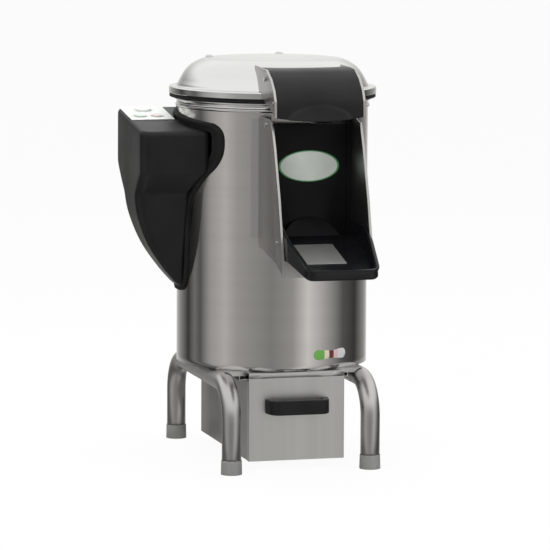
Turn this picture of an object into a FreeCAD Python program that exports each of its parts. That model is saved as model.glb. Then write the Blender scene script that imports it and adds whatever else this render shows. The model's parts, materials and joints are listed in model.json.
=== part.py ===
import FreeCAD, Part
import math
import os

# Electric potato peeler on its own stand, in millimetres.
# The drum axis is the measuring axis: +X to the viewer's right, -Y to the outlet, +Z up.
# place() moves every piece so that the origin is the middle of the footprint on the floor.

V = FreeCAD.Vector
AXIS_X = V(1, 0, 0)
AXIS_Y = V(0, 1, 0)
AXIS_Z = V(0, 0, 1)

# Sheet metal and clearances
sheet = 1.5
fit_gap = 0.1
run_gap = 0.05
move_gap = 0.4

# Drum
drum_r = 200.0
drum_bottom_z = 202.0
drum_top_z = 753.0
liner_wall = 4.0
floor_z = 448.0
floor_plate = 3.0
base_plate_t = 3.0
ring_flange_out = 6.0
ring_flange_h = 4.0
ring_bead_out = 3.5
ring_bead_h = 6.0
ring_drop = 16.0
ring_throat_in = 12.0

# Lid
lid_overhang = 17.0
lid_rim_h = 14.0
lid_seal_h = 8.6
lid_seal_w = 12.3
lid_seal_inset = 0.7
lid_dome_in = 17.0
lid_top_in = 66.0
lid_top_rise = 84.0
lid_crown = 3.0
rivet_r = 8.0
rivet_h = 3.0
rivet_in = 15.0
rivet_angles = (69.0, 153.0)
hinge_reach = 15.0
hinge_pin_r = 4.0
hinge_barrel_r = 9.0
hinge_half_w = 28.0
hinge_ear_t = 6.0
hinge_drop = 2.0

# Outlet mouth on the front of the drum
mouth_left_x = -80.0
mouth_right_x = 104.0
mouth_reach = 180.0
mouth_foot_z = 420.0
mouth_floor_z = 482.0
mouth_port_drop = 53.0
mouth_port_margin = 12.0
hem_w = 4.0
hem_t = 3.5

# Sliding gate
gate_reach = 26.0
gate_t = 6.0
gate_top_gap = 20.0
gate_lip_out = 30.0
gate_lip_half_w = 62.0
gate_lip_h = 44.0
guide_depth = 10.0
guide_wall = 3.6
label_half_w = 64.0
label_half_h = 32.0
label_z = 630.0
label_t = 0.8

# Hood on the lid
hood_reach = 118.0
hood_drop = 17.0
hood_h = 95.0
hood_cover_t = 3.0
hood_grip_half_w = 70.0
hood_grip_h = 28.0
hood_grip_out = 7.0
hood_grip_drop = 8.0

# Chute tray
tray_back_reach = 68.0
tray_reach = 288.0
tray_front_z = 425.5
tray_slope = 0.26
tray_wall = 8.0
tray_front_h = 21.5
tray_side_top_z = 520.0
tray_side_bend = 140.0
tray_taper_start = 175.0
tray_taper = 16.0
plate_half_x = 41.0
plate_half_y = 52.0
plate_mid_reach = 168.5
plate_off_x = 14.0
plate_t = 1.0

# Control box on the left of the drum
box_reach = 109.0
box_half_y = 118.0
box_top_drop = 41.0
box_slope = 0.149
box_knee_drop = 195.0
box_tip_drop = 395.0
box_belly_in = 33.0
box_belly_rise = 95.0
box_front_knee_drop = 141.0
box_waist_y = 62.0
box_waist_drop = 193.0
box_tip_y = 30.0
box_wall = 3.0
box_edge_r = 26.0
box_seal_t = 6.0
box_seal_grow = 16.0
panel_t = 1.2
panel_inner_gap = 12.0
panel_margin = 5.0
panel_front_y = -6.0
button_r = 11.0
button_collar_w = 2.6
button_collar_h = 1.2
button_rise = 2.2
button_travel = 2.0
knob_r = 17.0
knob_h = 4.5
knob_pointer_h = 0.4
stem_r = 3.0
stem_hole_r = 8.0
switch_w = 28.0
switch_d = 34.0
switch_h = 34.0
timer_w = 46.0
timer_d = 40.0
timer_h = 40.0
gland_in = 47.0
gland_drop = 113.0
gland_r = 9.9
cable_hole_r = 14.0

# Stand
leg_in = 52.0
leg_out = 33.5
tube_r = 20.0
bend_r = 75.0
foot_r = 22.0
foot_h = 30.0
foot_sole = 8.0
bar_w = 40.0
bar_t = 9.0
bar_in = 45.0
bolt_r = 4.0
bolt_x = 84.0

# Filter drawer
drawer_half_x = 101.0
drawer_front_y = -199.0
drawer_back_y = 200.0
drawer_bottom_z = 18.0
drawer_top_z = 190.0
drawer_flange = 12.0
runner_t = 2.0
handle_half_w = 67.0
handle_z = 135.0
handle_h = 24.0
handle_out = 38.0
handle_bar_t = 14.0
outlet_r = 25.0
outlet_len = 38.0

# Drive
shaft_r = 12.0
disc_gap = 10.0
disc_under_z = 468.0
disc_t = 9.0
motor_x = 95.0
motor_y = 60.0
motor_r = 65.0
rotor_r = 40.0
motor_shaft_r = 9.5
pulley_z = 226.0
pulley_h = 20.0
big_pulley_r = 72.0
small_pulley_r = 24.0
belt_t = 4.0
bearing_r = 24.0
bearing_h = 15.0
housing_r = 38.0
housing_bottom_z = 330.0
drain_x = -60.0
drain_y = 110.0
drain_r = 20.0
water_drop = 113.0
water_r = 13.2
water_spigot_r = 12.0
water_nut_r = 21.0
water_nut_t = 12.0
water_reach = 246.0

# Screw heads
screw_r = 4.5
screw_h = 2.5

# Longer than any way through the machine, for cuts that pass right through
right_through = 1000.0

# Worked out from the values above
ring_flange_r = drum_r + ring_flange_out
ring_bead_r = drum_r + ring_bead_out
ring_throat_r = drum_r - ring_throat_in
lid_rim_r = drum_r + lid_overhang
lid_dome_r = lid_rim_r - lid_dome_in
lid_top_r = lid_rim_r - lid_top_in
water_z = drum_top_z - water_drop
lid_top_z = drum_top_z + lid_top_rise
mouth_front_y = -drum_r - mouth_reach
gate_back_y = -drum_r - gate_reach
hood_front_y = -drum_r - hood_reach
tray_back_y = -drum_r - tray_back_reach
tray_front_y = -drum_r - tray_reach
tray_side_bend_y = -drum_r - tray_side_bend
tray_taper_y = -drum_r - tray_taper_start
box_out_x = -drum_r - box_reach
box_knee_z = drum_top_z - box_knee_drop
box_tip_z = drum_top_z - box_tip_drop
box_front_knee_z = drum_top_z - box_front_knee_drop
box_waist_z = drum_top_z - box_waist_drop
panel_inner_x = -drum_r - panel_inner_gap
gland_x = box_out_x + gland_in
gland_z = drum_top_z - gland_drop
leg_x = drum_r - leg_in
leg_y = drum_r + leg_out
bar_y = drum_r - bar_in
disc_r = drum_r - disc_gap
lid_open_y = lid_rim_r + hinge_reach
hood_bottom_z = drum_top_z - hood_drop
hood_top_z = hood_bottom_z + hood_h
mouth_port_top_z = drum_top_z - mouth_port_drop
gate_top_z = hood_bottom_z - gate_top_gap
box_mid_z = drum_top_z - box_top_drop
sill_z = mouth_floor_z + 1.0
mouth_mid_x = (mouth_left_x + mouth_right_x) / 2
lid_rim_z = drum_top_z + ring_flange_h - 1 + move_gap + lid_seal_h
ring_top_z = drum_top_z + ring_flange_h - 1
lid_shoulder_z = lid_rim_z + lid_rim_h
hinge_z = ring_top_z + hinge_drop
drum_in_r = drum_r - sheet
tube_z = drum_bottom_z - tube_r
gate_front_y = gate_back_y - gate_t
slope_angle = math.degrees(math.atan(box_slope))
origin_x = (box_out_x + lid_rim_r) / 2
origin_y = (tray_front_y + leg_y + foot_r) / 2

os.makedirs("parts", exist_ok=True)


def place(shape, name):
    """Move a finished piece to the part's own origin and write it under its name."""
    moved = shape.copy()
    moved.translate(V(-origin_x, -origin_y, 0))
    moved.exportStep("parts/" + name + ".step")


def group(shapes):
    return Part.makeCompound(shapes)


def box(x0, x1, y0, y1, z0, z1):
    return Part.makeBox(x1 - x0, y1 - y0, z1 - z0, V(x0, y0, z0))


def rod(r, z0, z1, x=0.0, y=0.0):
    return Part.makeCylinder(r, z1 - z0, V(x, y, z0))


def tube(r_out, r_in, z0, z1, x=0.0, y=0.0):
    return rod(r_out, z0, z1, x, y).cut(rod(r_in, z0 - 1, z1 + 1, x, y))


def cyl_x(r, x0, x1, y, z):
    return Part.makeCylinder(r, x1 - x0, V(x0, y, z), AXIS_X)


def cyl_y(r, y0, y1, x, z):
    return Part.makeCylinder(r, y1 - y0, V(x, y0, z), AXIS_Y)


def side_plate(points, x0, x1):
    """A plate whose outline is given as (y, z) points, from x0 to x1."""
    corners = [V(x0, y, z) for y, z in points]
    wire = Part.makePolygon(corners + corners[:1])
    return Part.Face(wire).extrude(V(x1 - x0, 0, 0))


def front_plate(points, y0, y1):
    """A plate whose outline is given as (x, z) points, from y0 to y1."""
    corners = [V(x, y0, z) for x, z in points]
    wire = Part.makePolygon(corners + corners[:1])
    return Part.Face(wire).extrude(V(0, y1 - y0, 0))


def flat_plate(points, z0, z1):
    """A plate whose outline is given as (x, y) points, from z0 to z1."""
    corners = [V(x, y, z0) for x, y in points]
    wire = Part.makePolygon(corners + corners[:1])
    return Part.Face(wire).extrude(V(0, 0, z1 - z0))


def turned(points):
    """A solid turned about the drum axis from (radius, z) points."""
    corners = [V(r, 0, z) for r, z in points]
    wire = Part.makePolygon(corners + corners[:1])
    return Part.Face(wire).revolve(V(0, 0, 0), AXIS_Z, 360)


def half_moon(half_w, height, x, z, y0, y1):
    """The upper half of an ellipse, carried from y0 to y1."""
    arch = Part.Arc(V(x - half_w, y0, z), V(x, y0, z + height), V(x + half_w, y0, z))
    base = Part.makeLine(V(x + half_w, y0, z), V(x - half_w, y0, z))
    return Part.Face(Part.Wire([arch.toShape(), base])).extrude(V(0, y1 - y0, 0))


# Drum


def make_drum_casing():
    wall = tube(drum_r, drum_in_r, drum_bottom_z, drum_top_z)
    port = box(mouth_left_x + mouth_port_margin, mouth_right_x - mouth_port_margin,
               -drum_r - 10, -drum_r / 2, mouth_floor_z, mouth_port_top_z)
    wall = wall.cut(port)
    wall = wall.cut(cyl_y(water_r + fit_gap, drum_r - 30, drum_r + 10, 0, water_z))
    cable_hole = cyl_x(cable_hole_r, -drum_r - 10, -drum_r + 30, 0, box_waist_z)
    return wall.cut(cable_hole)


def make_top_ring():
    bead_z = drum_top_z - ring_drop
    return turned([
        (drum_r + fit_gap, bead_z),
        (ring_bead_r, bead_z),
        (ring_bead_r, bead_z + ring_bead_h),
        (drum_r + 1.2, bead_z + ring_bead_h + 1.5),
        (drum_r + 1.2, drum_top_z - 1),
        (ring_flange_r, drum_top_z - 1),
        (ring_flange_r, ring_top_z),
        (ring_throat_r, ring_top_z),
        (ring_throat_r, drum_top_z),
        (drum_r + fit_gap, drum_top_z),
    ])


def make_liner():
    r_out = drum_in_r - fit_gap
    wall = tube(r_out, r_out - liner_wall, floor_z + floor_plate, drum_top_z - 8)
    port = box(mouth_left_x + mouth_port_margin, mouth_right_x - mouth_port_margin,
               -drum_r - 10, -drum_r / 2, mouth_floor_z, mouth_port_top_z)
    wall = wall.cut(port)
    return wall.cut(cyl_y(water_r + fit_gap, drum_r - 30, drum_r + 10, 0, water_z))


def make_chamber_floor():
    plate = rod(drum_in_r - fit_gap, floor_z, floor_z + floor_plate)
    plate = plate.cut(rod(bearing_r, floor_z - 1, floor_z + floor_plate + 1))
    return plate.cut(rod(drain_r + fit_gap, floor_z - 1, floor_z + 10, drain_x, drain_y))


def make_base_plate():
    plate = rod(drum_in_r - fit_gap, drum_bottom_z, drum_bottom_z + base_plate_t)
    plate = plate.cut(rod(drain_r + fit_gap, 0, floor_z, drain_x, drain_y))
    for x, y in bolt_places():
        plate = plate.cut(rod(bolt_r + fit_gap, 0, floor_z, x, y))
    return plate


def make_drain_pipe():
    pipe = tube(drain_r, drain_r - sheet, drawer_top_z + 1, floor_z + floor_plate, drain_x, drain_y)
    return pipe


def make_water_inlet():
    body = cyl_y(water_r, drum_r - 14, drum_r + water_nut_t + 0.5, 0, water_z)
    body = body.fuse(cyl_y(water_spigot_r, drum_r, water_reach, 0, water_z))
    body = body.cut(cyl_y(water_spigot_r - 3, drum_r - 20, water_reach + 5, 0, water_z))
    nozzle = cyl_y(water_r + 4, drum_r - 18, drum_r - 14, 0, water_z)
    return body.fuse(nozzle.cut(cyl_y(3, drum_r - 20, drum_r, 0, water_z)))


def make_inlet_nut():
    corners = []
    for k in range(6):
        angle = math.radians(60 * k)
        corners.append((water_nut_r * math.cos(angle), water_z + water_nut_r * math.sin(angle)))
    nut = front_plate(corners, drum_r + 0.2, drum_r + water_nut_t)
    return nut.cut(cyl_y(water_r + fit_gap, drum_r - 5, drum_r + 20, 0, water_z))


# Lid


def lid_outline():
    """Outer edge of the lid from the rim up to the crown, as (radius, z)."""
    rim = lid_rim_r
    low = lid_rim_z
    return [
        (rim, low),
        (rim, low + lid_rim_h - 4),
        (rim - 2, low + lid_rim_h - 1),
        (rim - 5, low + lid_rim_h),
        (lid_dome_r + 3, low + lid_rim_h),
        (lid_dome_r, low + lid_rim_h + 3),
        (lid_dome_r - 3.5, low + lid_rim_h + 10),
        (lid_dome_r - 8, low + lid_rim_h + 19),
        (lid_dome_r - 13, low + lid_rim_h + 27),
        (lid_dome_r - 19, low + lid_rim_h + 35.5),
        (lid_dome_r - 29, low + lid_rim_h + 44.5),
        (lid_dome_r - 41, low + lid_rim_h + 51),
        (lid_top_r, lid_top_z - 2.5),
        (lid_top_r - 2, lid_top_z - 0.5),
        (lid_top_r - 60, lid_top_z + lid_crown - 1),
        (0, lid_top_z + lid_crown),
    ]


def make_lid_shell():
    outer = lid_outline()
    inner = []
    for r, z in outer[::-1]:
        if r > lid_dome_r + 1:
            inner.append((min(r, lid_rim_r - sheet), z - sheet if z > lid_rim_z else z))
        else:
            inner.append((max(r - sheet, 0), z - sheet))
    kept = [point for point in inner if point[0] > 0]
    return turned(outer + [(0, lid_top_z + lid_crown - sheet)] + kept)


def lid_block():
    """The lid's whole outer volume, used to trim what sits against it."""
    return turned(lid_outline() + [(0, lid_rim_z)])


def make_lid_seal():
    low = ring_top_z + move_gap
    outer = lid_rim_r - lid_seal_inset
    return tube(outer, outer - lid_seal_w, low, low + lid_seal_h)


def make_rivets():
    heads = []
    for angle in rivet_angles:
        r = lid_top_r - rivet_in
        x = r * math.cos(math.radians(angle))
        y = r * math.sin(math.radians(angle))
        z = lid_top_z + lid_crown * (1 - r / lid_top_r) - 1
        heads.append(rod(rivet_r, z, z + rivet_h, x, y).cut(lid_block()))
    return group(heads)


def make_hinge_leaf():
    top = lid_shoulder_z
    strap = box(-hinge_half_w, hinge_half_w, lid_dome_r + 4, lid_open_y + 9, top + 0.1, top + 3.5)
    web = box(-hinge_half_w, hinge_half_w, lid_open_y + 5, lid_open_y + 9, hinge_z, top + 3.5)
    barrel = cyl_x(hinge_barrel_r, -hinge_half_w, hinge_half_w, lid_open_y, hinge_z)
    leaf = strap.fuse(web).fuse(barrel)
    return leaf.cut(cyl_x(hinge_pin_r + run_gap, -50, 50, lid_open_y, hinge_z))


def make_hinge_bracket():
    inner = hinge_half_w + 1
    outer = inner + hinge_ear_t
    ears = []
    for side in (-1, 1):
        x0 = inner if side > 0 else -outer
        ear = side_plate([
            (drum_r - 20, drum_top_z - 66),
            (drum_r + 8, drum_top_z - 66),
            (lid_open_y + hinge_barrel_r, drum_top_z - 12),
            (lid_open_y + hinge_barrel_r, hinge_z),
            (lid_open_y - hinge_barrel_r, hinge_z),
            (lid_open_y - hinge_barrel_r, drum_top_z - 14),
            (drum_r - 20, drum_top_z - 20),
        ], x0, x0 + hinge_ear_t)
        ears.append(ear.fuse(cyl_x(hinge_barrel_r, x0, x0 + hinge_ear_t, lid_open_y, hinge_z)))
    back = box(-outer, outer, drum_r - 20, drum_r + 8, drum_top_z - 66, drum_top_z - 20)
    body = back.fuse(ears[0]).fuse(ears[1])
    body = body.cut(rod(drum_r + 0.02, 0, right_through))
    return body.cut(cyl_x(hinge_pin_r, -50, 50, lid_open_y, hinge_z))


def make_hinge_pin():
    reach = hinge_half_w + 1 + hinge_ear_t
    pin = cyl_x(hinge_pin_r, -reach, reach, lid_open_y, hinge_z)
    left_head = cyl_x(hinge_pin_r + 2.5, -reach - 3, -reach, lid_open_y, hinge_z)
    right_head = cyl_x(hinge_pin_r + 2.5, reach, reach + 3, lid_open_y, hinge_z)
    return pin.fuse(left_head).fuse(right_head)


# Hood on the front of the lid


def hood_outline(inset=0.0):
    """Side outline of the hood as (y, z), drawn in from the outside by inset."""
    return [
        (-drum_r + 28 + inset, hood_top_z - inset),
        (hood_front_y + 69, hood_top_z - 3 - inset),
        (hood_front_y + 35 + inset * 0.5, hood_top_z - 21 - inset),
        (hood_front_y + 13 + inset, hood_top_z - 42 - inset * 0.5),
        (hood_front_y + 2 + inset, hood_top_z - 63),
        (hood_front_y + inset, hood_bottom_z),
        (-drum_r - 12, hood_bottom_z + 30),
        (-drum_r + 50, hood_bottom_z + 30),
        (-drum_r + 50, hood_top_z - inset),
    ]


def make_hood_cheek(side):
    x0 = mouth_left_x if side < 0 else mouth_right_x - sheet
    plate = side_plate(hood_outline(), x0, x0 + sheet)
    hem_x = mouth_left_x - hem_t if side < 0 else mouth_right_x
    hem = side_plate(hood_outline(), hem_x, hem_x + hem_t)
    hem = hem.cut(side_plate(hood_outline(hem_w), hem_x - 1, hem_x + hem_t + 1))
    front_part = box(-right_through, right_through, -right_through, -drum_r, 0, right_through)
    trimmed = plate.fuse(hem.common(front_part)).cut(lid_block())
    trimmed = trimmed.cut(rod(lid_rim_r + fit_gap, 0, lid_shoulder_z + 1))
    return trimmed


def make_hood_cover():
    x0 = mouth_left_x + sheet
    x1 = mouth_right_x - sheet
    skin = side_plate(hood_outline(), x0, x1)
    skin = skin.cut(side_plate(hood_outline(hood_cover_t), x0 - 1, x1 + 1))
    skin = skin.cut(box(x0 - 1, x1 + 1, -drum_r + 40, 0, 0, right_through))
    grip_low = hood_bottom_z - hood_grip_drop
    grip = half_moon(hood_grip_half_w, hood_grip_h, mouth_mid_x, grip_low,
                     hood_front_y - 20, hood_front_y + hood_cover_t)
    wedge = side_plate([
        (hood_front_y + hood_cover_t, hood_bottom_z + hood_grip_h),
        (hood_front_y, hood_bottom_z + hood_grip_h - 6),
        (hood_front_y - hood_grip_out, grip_low + 4),
        (hood_front_y - hood_grip_out + hood_cover_t, grip_low),
        (hood_front_y + hood_cover_t, grip_low),
    ], x0, x1)
    skin = skin.fuse(grip.common(wedge)).cut(lid_block())
    return skin.cut(rod(lid_rim_r + 2 * fit_gap, 0, lid_shoulder_z + 1))


def make_hood_screws():
    heads = []
    for x0 in (mouth_left_x - screw_h, mouth_right_x):
        for y, z in ((-drum_r - 30, hood_top_z - 23), (hood_front_y + 26, hood_bottom_z + 26)):
            heads.append(cyl_x(screw_r, x0, x0 + screw_h, y, z))
    return group(heads)


# Outlet mouth


def mouth_outline(inset=0.0):
    """Side outline of the mouth as (y, z); inset draws in its front edge."""
    return [
        (-drum_r + 30, hood_bottom_z - 6),
        (-drum_r - 62, hood_bottom_z - 6),
        (-drum_r - 92 + inset, hood_bottom_z - 14),
        (-drum_r - 114 + inset, hood_bottom_z - 64),
        (-drum_r - 148 + inset, hood_bottom_z - 162),
        (mouth_front_y + inset, mouth_foot_z + 33),
        (mouth_front_y + inset, mouth_foot_z),
        (-drum_r - 109, mouth_foot_z + 24),
        (-drum_r - 22, mouth_foot_z + 39),
        (-drum_r + 30, mouth_foot_z + 42),
    ]


def make_mouth_cheek(side):
    x0 = mouth_left_x if side < 0 else mouth_right_x - sheet
    plate = side_plate(mouth_outline(), x0, x0 + sheet)
    hem_x = mouth_left_x - hem_t if side < 0 else mouth_right_x
    hem = side_plate(mouth_outline(), hem_x, hem_x + hem_t)
    hem = hem.cut(side_plate(mouth_outline(hem_w), hem_x - 1, hem_x + hem_t + 1))
    hem = hem.common(box(-right_through, right_through, mouth_front_y - 20, -drum_r - 85,
                         mouth_foot_z, hood_bottom_z - 14))
    low = mouth_floor_z - 2
    top = hood_bottom_z - 10
    front = -drum_r - 22
    back = -drum_r + 40
    flange = side_plate([(front, low), (back, low), (back, top), (front, top)],
                        hem_x if side > 0 else mouth_left_x - 14,
                        hem_x + 14 if side > 0 else mouth_left_x)
    flange = flange.common(tube(drum_r + sheet, drum_r, 0, right_through))
    return plate.fuse(hem).fuse(flange).cut(rod(drum_r + 0.02, 0, right_through))


def make_mouth_floor():
    x0 = mouth_left_x + sheet
    x1 = mouth_right_x - sheet
    lip_z = tray_line(mouth_front_y)
    sheet_shape = side_plate([
        (-drum_r + 50, mouth_floor_z),
        (tray_back_y, mouth_floor_z),
        (mouth_front_y, lip_z),
        (mouth_front_y, mouth_foot_z),
        (mouth_front_y + sheet, mouth_foot_z),
        (mouth_front_y + sheet, lip_z - sheet),
        (tray_back_y, mouth_floor_z - sheet),
        (-drum_r + 50, mouth_floor_z - sheet),
    ], x0, x1)
    return sheet_shape.cut(rod(drum_r + 0.02, 0, right_through))


def make_mouth_screws():
    heads = []
    for x0 in (mouth_left_x - screw_h, mouth_right_x):
        for y, z in ((-drum_r - 39, hood_bottom_z - 20), (-drum_r - 123, mouth_floor_z + 2)):
            heads.append(cyl_x(screw_r, x0, x0 + screw_h, y, z))
    return group(heads)


def make_gate_guide(side):
    wall_x = mouth_left_x + sheet if side < 0 else mouth_right_x - sheet
    inner_x = wall_x - side * guide_depth
    x0 = min(wall_x, inner_x)
    x1 = max(wall_x, inner_x)
    rail = box(x0, x1, gate_front_y - guide_wall, gate_back_y + guide_wall,
               mouth_floor_z, hood_bottom_z - 10)
    slot_x0 = x0 + (1.5 if side < 0 else -1)
    slot_x1 = x1 - (1.5 if side > 0 else -1)
    slot = box(slot_x0, slot_x1, gate_front_y - move_gap, gate_back_y + move_gap,
               mouth_floor_z - 1, right_through)
    return rail.cut(slot)


def make_gate():
    x0 = mouth_left_x + sheet + 1.5 + move_gap
    x1 = mouth_right_x - sheet - 1.5 - move_gap
    panel = box(x0, x1, gate_front_y, gate_back_y, sill_z, gate_top_z)
    reach = gate_front_y - gate_lip_out
    moon = half_moon(gate_lip_half_w, gate_lip_h, mouth_mid_x, sill_z, reach - 1, gate_back_y)
    wedge = side_plate([
        (gate_back_y - 1, sill_z + gate_lip_h + 3),
        (gate_front_y, sill_z + gate_lip_h + 3),
        (reach, sill_z + 6),
        (reach, sill_z + 1),
        (gate_front_y, sill_z + gate_lip_h - 12),
        (gate_back_y - 1, sill_z + gate_lip_h - 12),
    ], x0, x1)
    return panel.fuse(moon.common(wedge))


def make_gate_label():
    ellipse = Part.Ellipse(V(0, 0, 0), label_half_w, label_half_h)
    face = Part.Face(Part.Wire([ellipse.toShape()]))
    face.rotate(V(0, 0, 0), AXIS_X, 90)
    face.translate(V(mouth_mid_x + 1, gate_front_y, label_z))
    return face.extrude(V(0, -label_t, 0))


# Chute tray


def tray_line(y):
    """Height of the tray's underside at y."""
    return tray_front_z + tray_slope * (y - tray_front_y)


def tray_plan(inset, taper_inset):
    """Plan of the tray as (x, y), narrower at the front, drawn in by inset."""
    x0 = mouth_left_x + sheet + move_gap + inset
    x1 = mouth_right_x - sheet - move_gap - inset
    front = tray_front_y + inset
    return [
        (x0, tray_back_y + taper_inset),
        (x0, tray_taper_y),
        (x0 + tray_taper, front),
        (x1 - tray_taper, front),
        (x1, tray_taper_y),
        (x1, tray_back_y + taper_inset),
    ]


def tray_side(lift, grow):
    """Side outline of the tray, its underside lifted by lift."""
    return [
        (tray_back_y + grow, tray_line(tray_back_y + grow) + lift),
        (tray_front_y - grow, tray_line(tray_front_y - grow) + lift),
        (tray_front_y - grow, tray_front_z + tray_front_h + grow * 2),
        (tray_side_bend_y, tray_side_top_z + grow * 2),
        (tray_back_y + grow, tray_side_top_z + grow * 2),
    ]


def make_chute_tray():
    outer = side_plate(tray_side(0, 0), mouth_left_x, mouth_right_x)
    outer = outer.common(flat_plate(tray_plan(0, 0), 0, right_through))
    pocket = side_plate(tray_side(tray_wall, 20), mouth_left_x, mouth_right_x)
    pocket = pocket.common(flat_plate(tray_plan(tray_wall, 30), 0, right_through))
    return outer.cut(pocket)


def make_chute_plate():
    mid_y = -drum_r - plate_mid_reach
    mid_x = mouth_mid_x - plate_off_x
    y0 = mid_y - plate_half_y
    y1 = mid_y + plate_half_y
    z0 = tray_line(y0) + tray_wall
    z1 = tray_line(y1) + tray_wall
    return side_plate([(y0, z0), (y1, z1), (y1, z1 + plate_t), (y0, z0 + plate_t)],
                      mid_x - plate_half_x, mid_x + plate_half_x)


# Control box


def box_top(y):
    return box_mid_z + box_slope * y


def box_end_outline(grow=0.0):
    """Outline of the control box seen from the left, as (y, z)."""
    half = box_half_y + grow
    return [
        (-half, box_front_knee_z - grow * 0.4),
        (-box_waist_y - grow, box_waist_z - grow * 0.3),
        (-box_tip_y - grow, box_tip_z - grow),
        (box_tip_y + grow, box_tip_z - grow),
        (box_waist_y + grow, box_waist_z - grow * 0.3),
        (half, box_front_knee_z - grow * 0.4),
        (half, box_top(box_half_y) + grow),
        (-half, box_top(-box_half_y) + grow),
    ]


def box_front_outline(inset=0.0):
    """Outline of the control box seen from the front: straight side, then a curve to the tip."""
    x = box_out_x + inset
    top_z = drum_top_z + 7
    tip = V(-drum_r + 30, 0, box_tip_z + inset - 20)
    knee = V(x, 0, box_knee_z)
    belly = V(box_out_x + box_belly_in + inset * 0.8, 0, box_tip_z + box_belly_rise + inset * 0.6)
    low = V(-drum_r - 2, 0, box_tip_z + 9 + inset)
    top_left = V(x, 0, top_z)
    top_right = V(-drum_r + 30, 0, top_z)
    edges = [
        Part.makeLine(top_left, knee),
        Part.Arc(knee, belly, low).toShape(),
        Part.makeLine(low, tip),
        Part.makeLine(tip, top_right),
        Part.makeLine(top_right, top_left),
    ]
    return Part.Face(Part.Wire(edges))


def box_volume(inset):
    """Outer volume of the control box, drawn in by inset on every free side."""
    face = box_front_outline(inset)
    face.translate(V(0, -right_through / 2, 0))
    sides = face.extrude(V(0, right_through, 0))
    ends = side_plate(box_end_outline(-inset), -right_through, 0)
    return sides.common(ends)


def round_outer_corners(solid, wall_x, radius):
    """Round the two upright corners that stand at wall_x."""
    corners = []
    for edge in solid.Edges:
        middle = edge.CenterOfMass
        upright = edge.BoundBox.ZLength > 60 and edge.BoundBox.YLength < 1
        if upright and abs(middle.x - wall_x) < 0.5:
            corners.append(edge)
    return solid.makeFillet(radius, corners)


def make_control_box():
    outer = round_outer_corners(box_volume(0.0), box_out_x, box_edge_r)
    hollow = round_outer_corners(box_volume(box_wall), box_out_x + box_wall, box_edge_r - box_wall)
    shell = outer.cut(hollow)
    shell = shell.cut(rod(drum_r + box_seal_t, 0, right_through))
    for hole in control_holes():
        shell = shell.cut(hole)
    gland_hole = cyl_y(gland_r + fit_gap, box_half_y - 10, box_half_y + 5, gland_x, gland_z)
    return shell.cut(gland_hole)


def make_box_seal():
    skin = tube(drum_r + box_seal_t, drum_r + 0.02, 0, drum_top_z - ring_drop - fit_gap)
    outline = side_plate(box_end_outline(box_seal_grow), box_out_x, -drum_r / 2)
    window = side_plate(box_end_outline(-14), box_out_x, -drum_r / 2)
    return skin.common(outline).cut(window)


def along_panel(shape, x, y):
    """Stand a shape built at the origin on the panel's face at (x, y)."""
    stood = shape.copy()
    stood.rotate(V(0, 0, 0), AXIS_X, slope_angle)
    stood.translate(V(x, y, box_top(y)))
    return stood


def button_places():
    x = (box_out_x + panel_inner_x) / 2 - 18
    y = box_half_y - 92
    return [(x, y), (x + 36, y)]


def knob_place():
    return ((box_out_x + panel_inner_x) / 2, box_half_y - 40)


def control_holes():
    """Cutters for the two button wells and the timer's stem, square to the panel."""
    well = Part.makeCylinder(button_r + move_gap, 30, V(0, 0, -20))
    stem = Part.makeCylinder(stem_hole_r, 30, V(0, 0, -20))
    holes = [along_panel(well, x, y) for x, y in button_places()]
    return holes + [along_panel(stem, *knob_place())]


def make_panel():
    x0 = box_out_x + panel_margin
    y1 = box_half_y - panel_margin
    slab = side_plate([
        (panel_front_y, box_top(panel_front_y)),
        (y1, box_top(y1)),
        (y1, box_top(y1) + panel_t),
        (panel_front_y, box_top(panel_front_y) + panel_t),
    ], x0, panel_inner_x)
    slab = slab.cut(rod(drum_r + 2, 0, right_through))
    for hole in control_holes():
        slab = slab.cut(hole)
    corner = rod(box_edge_r, 0, right_through, box_out_x + box_edge_r, box_half_y - box_edge_r)
    square = box(box_out_x - 5, box_out_x + box_edge_r, box_half_y - box_edge_r, box_half_y + 5,
                 0, right_through)
    return slab.cut(square.cut(corner))


def make_collars():
    rings = []
    for x, y in button_places():
        well_r = button_r + move_gap
        ring = Part.makeCylinder(well_r + button_collar_w, button_collar_h, V(0, 0, panel_t + run_gap))
        ring = ring.cut(Part.makeCylinder(well_r, 20, V(0, 0, -5)))
        rings.append(along_panel(ring, x, y))
    return group(rings)


def make_button(which):
    x, y = button_places()[which]
    cap = Part.makeCylinder(button_r, panel_t + button_rise, V(0, 0, 0))
    stem = Part.makeCylinder(stem_r, 13, V(0, 0, -12))
    return along_panel(cap.fuse(stem), x, y)


def make_knob():
    x, y = knob_place()
    cap = Part.makeCylinder(knob_r, knob_h, V(0, 0, panel_t + move_gap))
    stem = Part.makeCylinder(stem_r, 20, V(0, 0, -16))
    pointer = Part.makeBox(4, knob_r * 0.9, knob_pointer_h + 1, V(-2, 0, panel_t + move_gap + knob_h - 1))
    return along_panel(cap.fuse(stem).fuse(pointer), x, y)


def make_switch_blocks():
    blocks = []
    for x, y in button_places():
        block = Part.makeBox(switch_w, switch_d, switch_h,
                             V(-switch_w / 2, -switch_d / 2, -box_wall - switch_h - run_gap))
        guide = Part.makeCylinder(stem_hole_r, 2, V(0, 0, -box_wall - 1.5))
        block = block.fuse(guide)
        block = block.cut(Part.makeCylinder(stem_r + move_gap, 30, V(0, 0, -18)))
        blocks.append(along_panel(block, x, y))
    return blocks


def make_timer():
    x, y = knob_place()
    body = Part.makeBox(timer_w, timer_d, timer_h,
                        V(-timer_w / 2, -timer_d / 2, -box_wall - timer_h - run_gap))
    collar = Part.makeCylinder(stem_hole_r - 0.5, box_wall + 2, V(0, 0, -box_wall - 2))
    body = body.fuse(collar)
    body = body.cut(Part.makeCylinder(stem_r + run_gap, 40, V(0, 0, -18)))
    return along_panel(body, x, y)


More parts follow.
